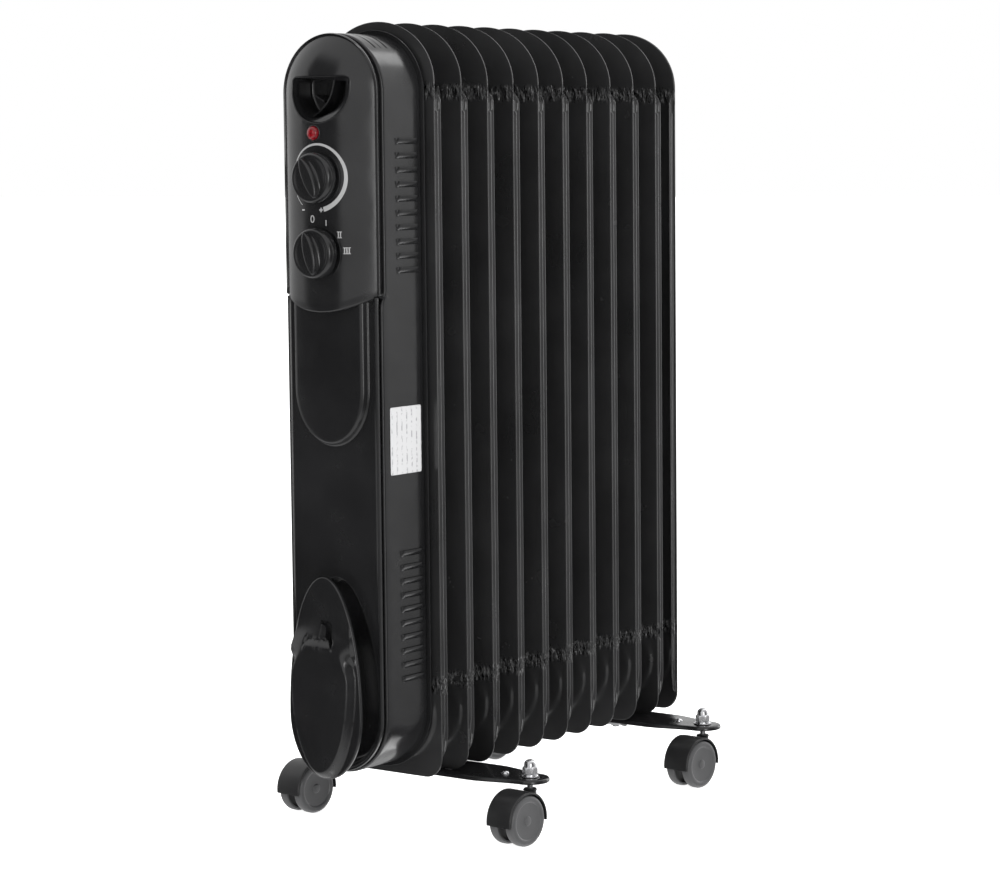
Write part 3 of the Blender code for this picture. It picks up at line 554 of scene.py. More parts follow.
def make_sections():
    base = fin_shape()
    for index, plane in enumerate(PLANES):
        bm = base.copy()
        if index == FIN_COUNT - 1:
            bm.transform(Matrix.Rotation(math.pi, 4, "Z"))
        bm.transform(shift(0.0, plane, 0.0))
        number = f"{index + 1:02d}"
        piece(f"section_{number}", bm, ENAMEL_FINS, f"fin_{number}", sharp=50)
    base.free()


HEADER_END = 9.0
BOSS = ((-6, 16.0), (-4.2, 18.0), (-3, 20.0), (3, 20.0), (4.2, 18.0), (6, 16.0))
WELD = ((-2.2, 15.3), (-1.2, 16.4), (0.0, 16.8), (1.2, 16.4), (2.2, 15.3))


def make_headers():
    """Rows of bosses: wide at each section, with a raised weld between two sections."""
    front, rear = PLANES[0] - HEADER_END, PLANES[-1] + HEADER_END
    profile = [(0.0, front), (14.0, front), (15.5, front + 1.0)]
    for middle, after in zip(PLANES, PLANES[1:] + [None]):
        profile += [(radius, middle + along) for along, radius in BOSS]
        if after is not None:
            profile += [(radius, (middle + after) / 2 + along) for along, radius in WELD]
    profile += [(15.5, rear - 1.6), (14.6, rear - 0.5), (12.5, rear), (9.0, rear - 0.2), (0.0, rear - 0.8)]
    for node, height in (("header_lower", BOX_LOW), ("header_upper", BOX_TOP)):
        bm = lathe(profile, 40, Matrix.Rotation(-math.pi / 2, 4, "X"), shift(0.0, 0.0, height))
        piece(node.replace("header", "boss_row"), bm, ENAMEL_FINS, node)


# ---------------------------------------------------------------- control box

BOX_HALF, BOX_TOP, BOX_LOW, BOX_REAR, BAND_THICKNESS = 45.0, 580.0, 105.0, -5.0, 1.1
LOUVRES = [545.8 - 10.8 * step for step in range(10)] + [232.6 - 10.75 * step for step in range(10)]
LOUVRE_SPAN = (-35.5, -8.5)
LOUVRE_DEPTH, LOUVRE_HEIGHT, LOUVRE_END = 2.0, 4.6, 3.2
# The fine steps beside both ends of a louvre, and the crown's three vents.
END_STEPS = (0.3, 0.7, 1.2, 1.8, 2.5, 3.3)
VENTS, VENT_SPAN = (-40.0, -33.0, -26.0), (7.0, 31.0)
# (behind the front edge, inset) of the band's rolled front lip.
BAND_LIP = ((1.4, 3.4), (0.35, 3.1), (0.0, 2.4), (0.0, 1.5), (0.3, 0.7), (0.9, 0.2), (1.9, 0.0))


def box_front(z):
    """The band is 4 mm deeper below the cover than beside it."""
    return -54.0 + 4.0 * smooth(z, 418.0, 432.0)


def louvre_push(y, z):
    """How far a pressed hood stands out of the side of the box."""
    low, high = LOUVRE_SPAN
    if not low < y < high:
        return 0.0
    for top in LOUVRES:
        below = top - z
        if 0.0 < below < LOUVRE_HEIGHT:
            end = min(y - low, high - y, LOUVRE_END) / LOUVRE_END
            share = math.sqrt(max(1.0 - (1.0 - end) ** 2, 0.0))
            return LOUVRE_DEPTH * share * math.cos(math.pi / 2 * below / LOUVRE_HEIGHT) ** 0.8
    return 0.0


def band_stations():
    """(x, z, outward x, outward z) round the box, anticlockwise seen from the front."""
    heights = {BOX_LOW + 25.0 * step for step in range(1, 19)}
    heights |= {414.0 + 2.0 * step for step in range(12)}
    for top in LOUVRES:
        heights |= {top + 1.4, top + 0.03, top - 0.03}
        heights |= {top - d for d in (0.6, 1.4, 2.3, 3.2, 4.1, 4.65, 5.4)}
    rows = []
    for z in sorted(heights):
        if not rows or z - rows[-1] > 0.045:
            rows.append(z)
    found = []
    for side, centre, start in ((1, BOX_TOP, 0), (-1, BOX_LOW, 180)):
        found += [(side * BOX_HALF, z, side, 0.0) for z in rows[::side]]
        for x, z in arc((0.0, centre), BOX_HALF, BOX_HALF, start, start + 180, 60):
            found.append((x, z, x / BOX_HALF, (z - centre) / BOX_HALF))
    return found


def make_housing():
    """The bent band: a lip, a flat with pressed louvres, and vents in the crown."""
    stations = band_stations()
    low, high = LOUVRE_SPAN
    depths = {-47.0, -44.0, -38.4, -36.4, -31.4, -28.0, -24.4, -21.0, -17.0, -13.0, -7.0, -5.6, BOX_REAR}
    depths |= {low, high, *VENTS, *(low + d for d in END_STEPS), *(high - d for d in END_STEPS)}
    depths = sorted(depths)
    first = len(BAND_LIP)
    bm = bmesh.new()
    rows = []
    for x, z, out_x, out_z in stations:
        front = box_front(z)
        row = [(x - out_x * inset, front + ahead, z - out_z * inset) for ahead, inset in BAND_LIP]
        for y in depths:
            push = louvre_push(y, z) if abs(out_x) == 1.0 and BOX_LOW < z < BOX_TOP else 0.0
            row.append((x + out_x * push, y, z + out_z * push))
        rows.append([bm.verts.new(p) for p in row])
    crown = {depths.index(a) + first for a in VENTS}
    for index, (x, z, out_x, out_z) in enumerate(stations):
        after = (index + 1) % len(rows)
        one, two = rows[index], rows[after]
        slit = abs(z - stations[after][1]) < 0.1 and abs(out_x) == 1.0
        near, far = VENT_SPAN
        arch = out_z > 0 and near < abs(x) < far and near < abs(stations[after][0]) < far
        for step in range(len(one) - 1):
            if slit and step >= first and low - 0.01 < depths[step - first] < high - 0.01:
                continue
            if arch and step in crown:
                continue
            bm.faces.new((one[step], one[step + 1], two[step + 1], two[step]))
    band = piece("control_box", bm, ENAMEL, "control_housing", sharp=40)
    thicken(band, BAND_THICKNESS)
    shade(band, 40)


def make_shield_plate():
    half, front, rear = 48.5, -4.7, -3.5
    outline = arc((0.0, BOX_TOP), half, half, 0, 180, 40)
    outline += arc((0.0, BOX_LOW), half, half, 180, 360, 40)
    profile = ((3.0, front), (0.8, front), (0.25, front - 0.1), (0.0, front + 0.35), (0.0, rear - 0.1))
    profile += ((0.3, rear + 0.25), (0.9, rear), (3.0, rear))
    bm = solid(plate_rings(outline, profile))
    piece("end_plate", bm, ENAMEL, "heat_shield")


# ---------------------------------------------------------------- cover

COVER_EDGE, COVER_CROWN, COVER_BULGE, COVER_NECK, COVER_WALL = -56.0, -73.0, 2.6, -44.0, 1.8
COVER_LOW, COVER_SAG = 416.0, 13.0
THERMOSTAT_Z, POWER_Z = 516.5, 460.0
LAMP_X, LAMP_Z, LAMP_RADIUS = -3.0, 550.0, 5.2
SHAFT_HOLE, LAMP_HOLE = 6.0, 5.0
# (behind the edge, below it) of the lip along the cover's bottom.
COVER_LIP = ((9.0, 0.9), (3.0, 0.9), (1.3, 0.75), (0.45, 0.3), (0.0, -0.4))


def cover_low(x):
    """The cover's bottom edge, which sags in the middle."""
    return COVER_LOW + COVER_SAG * (x / BOX_HALF) ** 2


def cover_y(inset):
    """Y of the bulging face at a distance from its outline."""
    share = min(max(inset / BOX_HALF, 0.0), 1.0)
    return COVER_EDGE - (COVER_EDGE - COVER_CROWN) * (1 - (1 - share) ** COVER_BULGE)


def cover_face(x, z):
    """Y of the cover's outer face at a point of its front."""
    reach = math.hypot(x, z - BOX_TOP) if z > BOX_TOP else abs(x)
    return cover_y(BOX_HALF - reach)


def cover_rows():
    """Nested arches from the neck in the box to the crown line, with a lip along the bottom."""
    rim = [(2.8, COVER_NECK), (2.8, -52.6), (2.5, -54.2), (1.7, -55.0), (0.8, -55.2), (0.2, -55.7)]
    rim += [(0.0, -56.5), (0.15, -57.4), (0.6, -58.6)]
    return rim + [(i, cover_y(i)) for i in (1.6, 2.6, 4, 6, 8.5, 11.5, 15, 19, 24, 30, 37, 44.9)]


def make_cover():
    """Nested arches, sewn up along the crown line, with holes for the pocket, knobs and lamp."""
    rings = []
    for inset, y in cover_rows():
        half = BOX_HALF - inset
        low = cover_low(half)
        lip = [(min(y + behind, COVER_NECK), low - drop) for behind, drop in COVER_LIP]
        climb = [low + (BOX_TOP - low) * (step / 26) for step in range(1, 27)]
        side = lip + [(y, z) for z in climb]
        path = [(half, *point) for point in side]
        path += [(u, y, v) for u, v in arc((0.0, BOX_TOP), half, half, 0, 180, 48)[1:-1]]
        rings.append(path + [(-half, *point) for point in reversed(side)])
    bm = bmesh.new()
    last = skin(bm, rings, closed=False)[-1]
    half = len(last) // 2
    for step in range(half - 1):
        bm.faces.new((last[step], last[step + 1], last[-step - 2], last[-step - 1]))
    if len(last) % 2:
        bm.faces.new((last[half - 1], last[half], last[half + 1]))
    cover = piece("cover_shell", bm, GLOSS, "upper_cover", sharp=50)
    thicken(cover, COVER_WALL)
    tools = [prism(inward(pocket_outline(), -0.9), -90.0, -46.0)]
    holes = ((0.0, THERMOSTAT_Z, SHAFT_HOLE), (0.0, POWER_Z, SHAFT_HOLE), (LAMP_X, LAMP_Z, LAMP_HOLE))
    for x, z, radius in holes:
        rod = [(0.0, 60.0), (radius, 60.0), (radius, 90.0), (0.0, 90.0)]
        tools.append(lathe(rod, 32, FACE_FRONT, shift(x, 0.0, z)))
    cut(cover, 45, *tools)


def pocket_outline():
    """A flat top edge with small round corners over a half-round, anticlockwise."""
    half, middle, low, top, corner = 27.5, 583.0, 557.5, 592.0, 3.6
    found = arc((0.0, middle), half, middle - low, 180, 360, 40)
    found += arc((half - corner, top - corner), corner, corner, 0, 90, 8)
    return found + arc((corner - half, top - corner), corner, corner, 90, 180, 8)


POCKET_MIDDLE = 580.0
# (inset, proud of the cover) of the pocket's bead, and (share of the outline, depth) of its
# slope below the cover's face and of its well. The well's depths are places along Y.
POCKET_BEAD = ((-1.3, -0.02), (-0.9, 0.1), (-0.45, 0.12), (-0.1, -0.1), (0.15, -0.6))
POCKET_SLOPE = ((0.97, 1.2), (0.92, 2.0), (0.86, 2.9), (0.79, 4.0), (0.75, 4.9), (0.735, 5.6), (0.725, 6.8))
POCKET_WELL = ((0.71, -56.0), (0.68, -50.0), (0.63, -47.6), (0.5, -47.0), (0.25, -46.9))


def make_pocket():
    """The lining of the hand pocket: a sloped funnel, then a well with two ribs."""
    outline = pocket_outline()

    def at_face(inset, depth):
        return [(u, cover_face(u, v) + depth, v) for u, v in inward(outline, inset)]

    def drawn_in(share, depth=None, y=None):
        """The outline shrunk about its middle, steeply on the left and gently on the right."""
        ring = []
        for u, v in outline:
            part = 1.0 - (1.0 - share) * (0.25 + 0.75 * smooth(u, -16.0, 8.0))
            place = cover_face(u, v) + depth if y is None else y
            ring.append((u * part, place, POCKET_MIDDLE + (v - POCKET_MIDDLE) * part))
        return ring

    lining = [at_face(inset, -proud) for inset, proud in POCKET_BEAD]
    lining += [drawn_in(share, depth=depth) for share, depth in POCKET_SLOPE]
    lining += [drawn_in(share, y=y) for share, y in POCKET_WELL]
    behind = [at_face(POCKET_BEAD[0][0], 0.5)] + plate_rings(outline, ((-0.7, -46.0), (2.0, -45.9)))
    piece("hand_pocket", cup(lining, behind), GLOSS, sharp=60)
    curve = [(7.0, 590.6), (6.4, 586.6), (5.2, 582.0), (3.0, 577.0), (0.2, 573.0), (-3.0, 569.8)]
    bm = upright_wall(curve + [(-6.4, 567.0), (-9.6, 564.8), (-12.4, 563.2)])
    merge(bm, upright_wall([(-11.5, 578.2), (-7.0, 575.8), (-2.8, 573.5)]))
    piece("pocket_rib", bm, GLOSS, sharp=60)


def upright_wall(points):
    """A thin wall with a rounded crest that stands on the floor of the hand pocket."""
    rings = []
    for y, half in ((-60.6, 0.25), (-60.35, 0.6), (-59.8, 0.8), (-46.8, 0.95)):
        left = [(x - along.y * half, y, z + along.x * half) for x, z, along in headings(points)]
        other = [(x + along.y * half, y, z - along.x * half) for x, z, along in headings(points)]
        rings.append(left + other[::-1])
    return solid(rings)


def ribbon(points, widths, proud=0.14, depth=0.5):
    """A thin printed stroke that follows the cover's face along (x, z) points."""
    rows = []
    for (x, z, along), (low, high) in zip(headings(points), widths):
        row = []
        for share in (0.0, 0.5, 1.0):
            reach = low + (high - low) * share
            u, v = x - along.y * reach, z + along.x * reach
            row.append((u, cover_face(u, v) - proud, v))
        rows.append(row + [(u, y + depth, v) for u, y, v in reversed(row)])
    return solid(rows)


RING_RADIUS, RING_START, RING_STOP, RING_STEPS = 26.0, 231.5, -77.0, 72
MARKS_PITCH = 1.75


def make_dial_print():
    """The tapering ring round the thermostat knob and the generic marks of both scales."""
    centre = (0.0, THERMOSTAT_Z)
    ring = arc(centre, RING_RADIUS, RING_RADIUS, RING_START, RING_STOP, RING_STEPS)
    widths = [(-(0.5 + 3.2 * (step / RING_STEPS) ** 1.3), 0.0) for step in range(RING_STEPS + 1)]
    piece("dial_ring", ribbon(ring, widths), SILVER, sharp=60)
    marks = bmesh.new()

    def bar(x, z, length, upright=False, width=1.0):
        half = length / 2
        line = [(x - half, z), (x, z), (x + half, z)]
        if upright:
            line = [(x, z - half), (x, z), (x, z + half)]
        merge(marks, ribbon(line, [(-width / 2, width / 2)] * 3))

    bar(-15.0, 492.5, 3.0)
    bar(3.0, 492.5, 3.4)
    bar(3.0, 492.5, 3.4, upright=True)
    loop = arc((-5.6, 485.7), 1.55, 2.5, 0, 360, 20)
    merge(marks, ribbon(loop, [(-0.4, 0.4)] * len(loop)))
    for x, z, count in ((7.5, 482.8, 1), (18.9, 473.9, 2), (24.5, 462.0, 3)):
        for index in range(count):
            bar(x + (index - (count - 1) / 2) * MARKS_PITCH, z, 4.4, upright=True, width=0.85)
        if count > 1:
            for side in (-2.2, 2.2):
                bar(x, z + side, MARKS_PITCH * count + 0.4, width=0.6)
    piece("dial_marks", marks, SILVER, sharp=60)


KNOB_SEAT, KNOB_RADIUS = 73.3, 19.3
# (half width, half length, height) up the grip.
GRIP = (
    (7.6, 17.4, 8.0), (6.9, 17.2, 8.5), (6.3, 17.0, 9.1), (5.8, 16.9, 10.0), (5.4, 16.8, 11.3),
    (5.0, 16.6, 12.3), (4.4, 16.0, 12.95), (3.4, 14.8, 13.15), (1.5, 12.0, 13.2),
)


def make_knob(node, height, turn):
    """A round knob with a lens-shaped grip across its face."""
    profile = [(0.0, 0.2), (17.6, 0.2), (18.6, 0.5), (19.0, 1.3), (KNOB_RADIUS, 2.2), (19.1, 6.0)]
    profile += [(18.6, 7.6), (17.9, 8.7), (16.9, 9.3), (15.9, 9.35), (15.0, 8.9), (12.0, 8.4)]
    profile += [(6.0, 8.2), (0.0, 8.15)]
    bm = lathe(profile, 64)
    grip = []
    for across, along, rise in GRIP:
        ring = []
        for step in range(48):
            angle = 2 * math.pi * step / 48
            swell = abs(math.cos(angle)) ** 1.25
            ring.append((math.copysign(swell, math.cos(angle)) * across, along * math.sin(angle), rise))
        grip.append(ring)
    merge(bm, solid(grip))
    moved(bm, FACE_FRONT, Matrix.Rotation(turn, 4, "Y"), shift(0.0, -KNOB_SEAT, height))
    piece(node + "_shell", bm, GLOSS, node, node, 48)
    seat = [(13.0, 66.0), (20.9, 66.0), (21.0, 71.6), (20.7, 72.3), (20.1, 72.5), (19.2, 72.2)]
    seat += [(18.6, 71.4), (13.0, 71.4), (13.0, 66.0)]
    bm = lathe(seat, 64, FACE_FRONT, shift(0.0, 0.0, height))
    piece(node.replace("knob", "seat"), bm, GLOSS, sharp=48)


def make_lamp():
    place = shift(LAMP_X, 0.0, LAMP_Z)
    base, rise = 74.0, 3.5
    dome = [(0.0, 58.0), (4.2, 58.0), (4.2, 72.9), (5.2, 73.1), (5.25, base)]
    dome += arc((0.0, base), LAMP_RADIUS, rise, 9, 81, 8) + [(0.0, base + rise)]
    bm = lathe(dome, 36, FACE_FRONT, place)
    piece("lamp_lens", bm, LENS, "pilot_lamp", sharp=60)
    rim = [(5.35, 70.0), (6.2, 70.0), (6.3, 73.2), (6.0, 73.7), (5.6, 73.75), (5.35, 73.3), (5.35, 70.0)]
    piece("lamp_rim", lathe(rim, 36, FACE_FRONT, place), GLOSS, sharp=60)


# ---------------------------------------------------------------- lower front

PANEL_Y, PANEL_HALF, PANEL_GAP, WINDER_CENTRE = -58.0, 43.3, 1.4, 108.0
SHIELD_HALF, SHIELD_CENTRE, SHIELD_DOWN = 36.0, 357.0, 44.5
PANEL_EDGE = (
    (1.6, -55.6), (0.25, -55.6), (0.0, -56.0), (0.0, -58.6), (0.2, -59.1), (0.75, -59.35),
    (1.5, -59.3), (2.0, -58.9), (2.35, -58.25), (2.9, PANEL_Y), (5.0, PANEL_Y),
)
RECESS_INSIDE = (
    (-1.8, -58.02), (-1.4, -58.1), (-0.7, -58.05), (-0.2, -57.6), (0.1, -56.8), (0.3, -55.6),
    (1.0, -48.5), (1.6, -46.2), (2.8, -44.8), (4.8, -44.3), (8.0, -44.25),
)
RECESS_BEHIND = ((-1.8, -57.4), (-1.3, -55.0), (-0.6, -46.0), (1.4, -43.4), (4.0, -42.9))
SHIELD_EDGE = (
    (0.0, -57.6), (0.0, -58.4), (0.25, -58.9), (1.0, -59.2), (1.5, -59.9), (2.1, -62.0),
    (2.8, -63.1), (3.8, -63.7), (6.0, -64.05), (12.0, -64.5), (20.0, -64.9), (30.0, -65.1),
)


def under_cover(half, steps=20):
    """Points from right to left just under the cover's bottom edge."""
    across = [half * (1 - 2 * s / steps) for s in range(steps + 1)]
    return [(x, cover_low(x) - PANEL_GAP) for x in across]


def panel_outline(half):
    """The panel ends under the cover. Its corners there are square."""
    rise = cover_low(half) - PANEL_GAP - BOX_LOW
    climb = [(half, BOX_LOW + rise * step / 24) for step in range(1, 24)]
    found = climb + under_cover(half) + [(-x, z) for x, z in reversed(climb)]
    return found + arc((0.0, BOX_LOW), half, half, 180, 360, 60)


def scaled(outline, half, inset):
    """Pulls a panel outline in from its sides and bottom but not from its top edge."""
    share = (half - inset) / half
    return [(x * share, BOX_LOW + (z - BOX_LOW) * share if z < BOX_LOW else z) for x, z in outline]


def make_panel():
    outline = panel_outline(PANEL_HALF)
    rings = []
    for inset, y in PANEL_EDGE:
        rings.append([(u, y, v) for u, v in scaled(outline, PANEL_HALF, inset)])
    panel = piece("front_panel", solid(rings), GLOSS, "lower_panel")
    cut(panel, 38, prism(inward(recess_outline(), -1.4), -70.0, -40.0))
    inside, behind = (plate_rings(recess_outline(), steps) for steps in (RECESS_INSIDE, RECESS_BEHIND))
    piece("cord_recess", cup(inside, behind), GLOSS, sharp=60)


def make_raised_shield():
    """The shield on the panel: straight sides from under the cover, with a round bottom end."""
    rise = cover_low(SHIELD_HALF) - PANEL_GAP - SHIELD_CENTRE
    straight = [(SHIELD_HALF, SHIELD_CENTRE + rise * step / 8) for step in range(1, 8)]
    pad = straight + under_cover(SHIELD_HALF, 18) + [(-x, z) for x, z in reversed(straight)]
    pad += arc((0.0, SHIELD_CENTRE), SHIELD_HALF, SHIELD_DOWN, 180, 360, 48)
    rings = []
    for inset, y in SHIELD_EDGE:
        across, down = (SHIELD_HALF - inset) / SHIELD_HALF, (SHIELD_DOWN - inset) / SHIELD_DOWN
        ring = []
        for x, z in pad:
            low = min(z - SHIELD_CENTRE, 0.0)
            ring.append((x * across, y, z - low + low * down))
        rings.append(ring)
    piece("raised_shield", solid(rings), GLOSS, sharp=50)


def recess_outline():
    return egg(39.3, WINDER_CENTRE, 41.3, 103.8, 48)


LOBE_RIGHT, LOBE_LEFT, LOBE_CENTRE, LOBE_DOWN, LOBE_UP = 27.8, 26.0, 137.0, 72.0, 22.0
LOBE_HEIGHT, LOBE_WALL, LOBE_DOME = 8.0, 3.2, 0.7
LEDGE_Z, LEDGE_SLOPE = 162.0, 0.45
FLANGE_FACE, FACE_MIDDLE, FACE_RINGS = -74.6, 118.0, 60
FLANGE_EDGE = ((1.2, -71.1), (0.25, -71.4), (0.0, -72.2), (0.0, -73.4), (0.15, -74.0), (0.5, -74.4))
HUB_SIDE = ((0.0, -44.4), (0.0, -69.0), (-0.8, -70.6), (-2.6, -71.6))


def winder_rise(x, z):
    """Height of the winder's face over its flange: a domed lobe that fades out at its top."""
    upper = z > LOBE_CENTRE
    half = LOBE_RIGHT if x > 0.0 else LOBE_LEFT
    reach = math.hypot(x / half, (z - LOBE_CENTRE) / (LOBE_UP if upper else LOBE_DOWN))
    slope = LOBE_WALL + 27.0 * smooth(z, 146.0, 162.0)
    wall = 1.0 - smooth((reach - 1.0) * half, 0.0, slope)
    rise = LOBE_HEIGHT * wall + LOBE_DOME * max(1.0 - reach * reach, 0.0)
    ledge = smooth(x, -15.0, -14.0) * (1.0 - smooth(x, 12.6, 13.6))
    ledge *= smooth(z, 158.6, 160.0) * (1.0 - smooth(z, 166.5, 168.0))
    return rise + ledge * (LEDGE_Z - z) * LEDGE_SLOPE


def make_winder():
    """The winder's face in shrinking rings, on a hub that flares towards it."""
    plate = egg(35.0, WINDER_CENTRE, 50.0, 106.0, 72)
    rings = plate_rings(plate, (*FLANGE_EDGE, (1.0, FLANGE_FACE)))
    edge = inward(plate, 1.0)
    for step in range(1, FACE_RINGS):
        share = 1.0 - step / FACE_RINGS
        ring = [(u * share, FACE_MIDDLE + (v - FACE_MIDDLE) * share) for u, v in edge]
        rings.append([(x, FLANGE_FACE - winder_rise(x, z), z) for x, z in ring])
    hub = egg(17.0, WINDER_CENTRE, 22.0, 62.0, 48)
    bm = merge(solid(rings), solid(plate_rings(hub, HUB_SIDE)))
    winder = piece("winder_flange", bm, GLOSS, "cord_winder", sharp=45)
    cut(winder, 42, slot_tool())


def slot_tool():
    """The parking slot for a plug: an upright opening with round corners."""
    outline = arc((5.0, 172.0), 5.5, 9.0, 0, 90, 10) + [(-2.2, 181.0), (-1.6, 178.0)]
    outline += arc((-1.0, 172.0), 6.0, 6.0, 80, 0, 6) + [(5.6, 169.0), (12.8, 160.5), (13.4, 163.0)]
    return prism(outline, -90.0, -72.4)


def make_gland():
    profile = [(3.6, 38.0), (5.0, 38.0), (5.0, 44.6), (7.0, 44.7), (7.1, 45.6), (6.7, 46.6), (5.4, 47.4)]
    profile += [(4.9, 48.4), (4.7, 50.4), (4.2, 51.0), (3.7, 50.9), (3.6, 50.3), (3.6, 38.0)]
    bm = lathe(profile, 36, FACE_FRONT, shift(-30.5, 0.0, 112.0))
    piece("gland_bush", bm, SATIN, "cord_gland")


FILM_X, FILM_CORNER = 45.25, 1.5
# (inset, out of the side) of the film: its edge, its face and the printed frame.
FILM_STEPS = ((0.0, 0.0), (0.0, 0.22), (0.12, 0.3), (0.6, 0.31), (0.7, 0.36), (1.1, 0.36), (1.2, 0.31))


def make_rating_film():
    outline = []
    corners = ((-10.0, 341.5), (-45.0, 341.5), (-45.0, 293.0), (-10.0, 293.0))
    for quarter, corner in enumerate(corners):
        start = 90 * quarter
        outline += arc(corner, FILM_CORNER, FILM_CORNER, start, start + 90, 5)
    rings = [[(FILM_X + out, u, v) for u, v in inward(outline, inset)] for inset, out in FILM_STEPS]
    piece("side_film", solid(rings), LABEL, "rating_plate", sharp=60)


# ---------------------------------------------------------------- feet and casters

FOOT_TOP, FOOT_UNDER, FOOT_LIP, CASTER_X = 50.7, 48.9, 47.2, 105.7
FOOT_END, FOOT_HALF, SHOULDER, END_ANGLE, FOOT_SHIFT = 15.3, 24.0, 62.0, 78, 6.6
CLAMPS = (("front", 53.0, -1), ("rear", 292.4, 1))
CLAMP_REACH, CLAMP_BAR, CLAMP_END, CLAMP_HOLE, RIVET_X = 21.5, 2.85, 40.8, 3.4, 82.0
FOOT_EDGE = (
    (1.7, FOOT_LIP + 0.1), (0.5, FOOT_LIP), (0.05, FOOT_LIP + 0.35), (0.0, 48.8), (0.25, 49.8),
    (0.8, 50.4), (1.7, FOOT_TOP), (5.0, FOOT_TOP),
)
FOOT_INSIDE = ((1.7, 48.5), (2.2, FOOT_UNDER), (5.0, FOOT_UNDER))
RIVET = ((0.0, 50.0), (3.0, 50.0), (3.0, 50.9), (2.7, 51.7), (1.8, 52.4), (0.8, 52.7), (0.0, 52.75))
# (out, low, high, half thickness) along a wing of a wing nut, and the body of the nut.
WING = (
    (4.0, 42.6, 46.9, 1.15), (6.5, 41.8, 47.0, 1.0), (9.0, 41.4, 47.2, 0.95),
    (10.8, 41.5, 47.1, 0.85), (11.4, 42.2, 46.4, 0.6),
)
WING_NUT = (
    (3.15, 42.2), (4.3, 42.1), (4.9, 42.6), (5.6, 46.6), (6.0, 47.6), (6.0, 48.2), (5.6, 48.4),
    (3.15, 48.4), (3.15, 42.2),
)


def foot_outline():
    """Round ends that widen into a straight-sided middle, anticlockwise from the right end."""
    end = arc((CASTER_X, 0.0), FOOT_END, FOOT_END, -END_ANGLE, END_ANGLE, 20)
    neck_x, neck_y = end[-1]
    neck = []
    for step in range(1, 9):
        share = step / 9
        y = neck_y + (FOOT_HALF - neck_y) * smooth(share, 0.0, 1.0)
        neck.append((neck_x + (SHOULDER - neck_x) * share, y))
    side = neck + [(SHOULDER * (1 - 2 * s / 12), FOOT_HALF) for s in range(13)]
    side += [(-x, y) for x, y in reversed(neck)]
    return [(turn * x, turn * y) for turn in (1, -1) for x, y in end + side]


def make_foot(name, clamp_y, middle):
    """A pressed foot plate with its turned-down edge, its clamp holes and its rivets."""
    outline = foot_outline()
    top, inside = (
        [[(x, y, z) for x, y in inward(outline, inset)] for inset, z in steps]
        for steps in (FOOT_EDGE, FOOT_INSIDE)
    )
    bm = moved(cup(top, inside), shift(0.0, middle, 0.0))
    foot = piece(f"foot_{name}", bm, ENAMEL, f"foot_plate_{name}", sharp=45)
    rod = [(0.0, 40.0), (CLAMP_HOLE, 40.0), (CLAMP_HOLE, 60.0), (0.0, 60.0)]
    places = [shift(x, clamp_y, 0.0) for x in (-CLAMP_REACH, CLAMP_REACH)]
    cut(foot, 45, *(lathe(rod, 24, place) for place in places))
    for label, x in (("left", -RIVET_X), ("right", RIVET_X)):
        bm = lathe(RIVET, 24, shift(x, middle, 0.0))
        piece(f"rivet_{name}_{label}", bm, BRIGHT_STEEL, sharp=60)


def make_clamp(name, clamp_y):
    """A U-bolt over the lower bosses, with its two wing nuts under the foot plate."""
    leg = [CLAMP_END + (BOX_LOW - CLAMP_END) * step / 10 for step in range(10)]
    route = [(CLAMP_REACH, z) for z in leg]
    route += arc((0.0, BOX_LOW), CLAMP_REACH, CLAMP_REACH, 0, 180, 28)
    route += [(-CLAMP_REACH, z) for z in reversed(leg)]
    bm = tube([(x, clamp_y, z) for x, z in route], CLAMP_BAR, 16)
    piece(f"clamp_{name}", bm, ZINC, f"u_bolt_{name}", sharp=50)
    round_section = arc((0, 0), 1, 1, 0, 337.5, 15)
    for sign, label in ((-1, "left"), (1, "right")):
        bm = lathe(WING_NUT, 28)
        for wing in (-1, 1):
            rings = []
            for out, low, high, thick in WING:
                middle, half = (low + high) / 2, (high - low) / 2
                rings.append([(wing * out, thick * c, middle + half * s) for c, s in round_section])
            merge(bm, solid(rings))
        moved(bm, shift(sign * CLAMP_REACH, clamp_y, 0.0))
        piece(f"clamp_nut_{name}_{label}", bm, ZINC, f"wing_nut_{name}_{label}", sharp=45)


def hex_rings(levels, flat=5.2, segments=48):
    """Rings of a hexagon whose corners are turned off at (height, turned radius)."""
    rings = []
    for height, limit in levels:
        ring = []
        for step in range(segments):
            angle = 2 * math.pi * step / segments
            local = (angle + math.pi / 6) % (math.pi / 3) - math.pi / 6
            reach = min(flat / math.cos(local), limit)
            ring.append((reach * math.cos(angle), reach * math.sin(angle), height))
        rings.append(ring)
    return rings


def make_nut(name, place):
    """Two washers and an acorn nut."""
    nut = [(52.9, 5.3), (53.3, 5.75), (54.0, 6.1), (57.4, 6.1), (58.2, 5.7), (58.7, 5.15)]
    nut += [(58.8, 4.9), (59.0, 4.75), (60.6, 4.6)] + arc((60.6, 0.0), 3.9, 4.6, 79, 2, 7)
    bm = moved(solid(hex_rings(nut)), place)
    piece(f"acorn_nut_{name}", bm, CHROME, f"cap_nut_{name}", sharp=28)
    washer = [(3.3, 50.75), (7.4, 50.75), (7.6, 51.0), (7.6, 51.6), (7.3, 51.8), (6.6, 51.85)]
    washer += [(6.5, 52.1), (6.4, 52.8), (6.1, 52.9), (3.3, 52.9), (3.3, 50.75)]
    piece(f"washer_{name}", lathe(washer, 40, place), BRIGHT_STEEL, sharp=40)


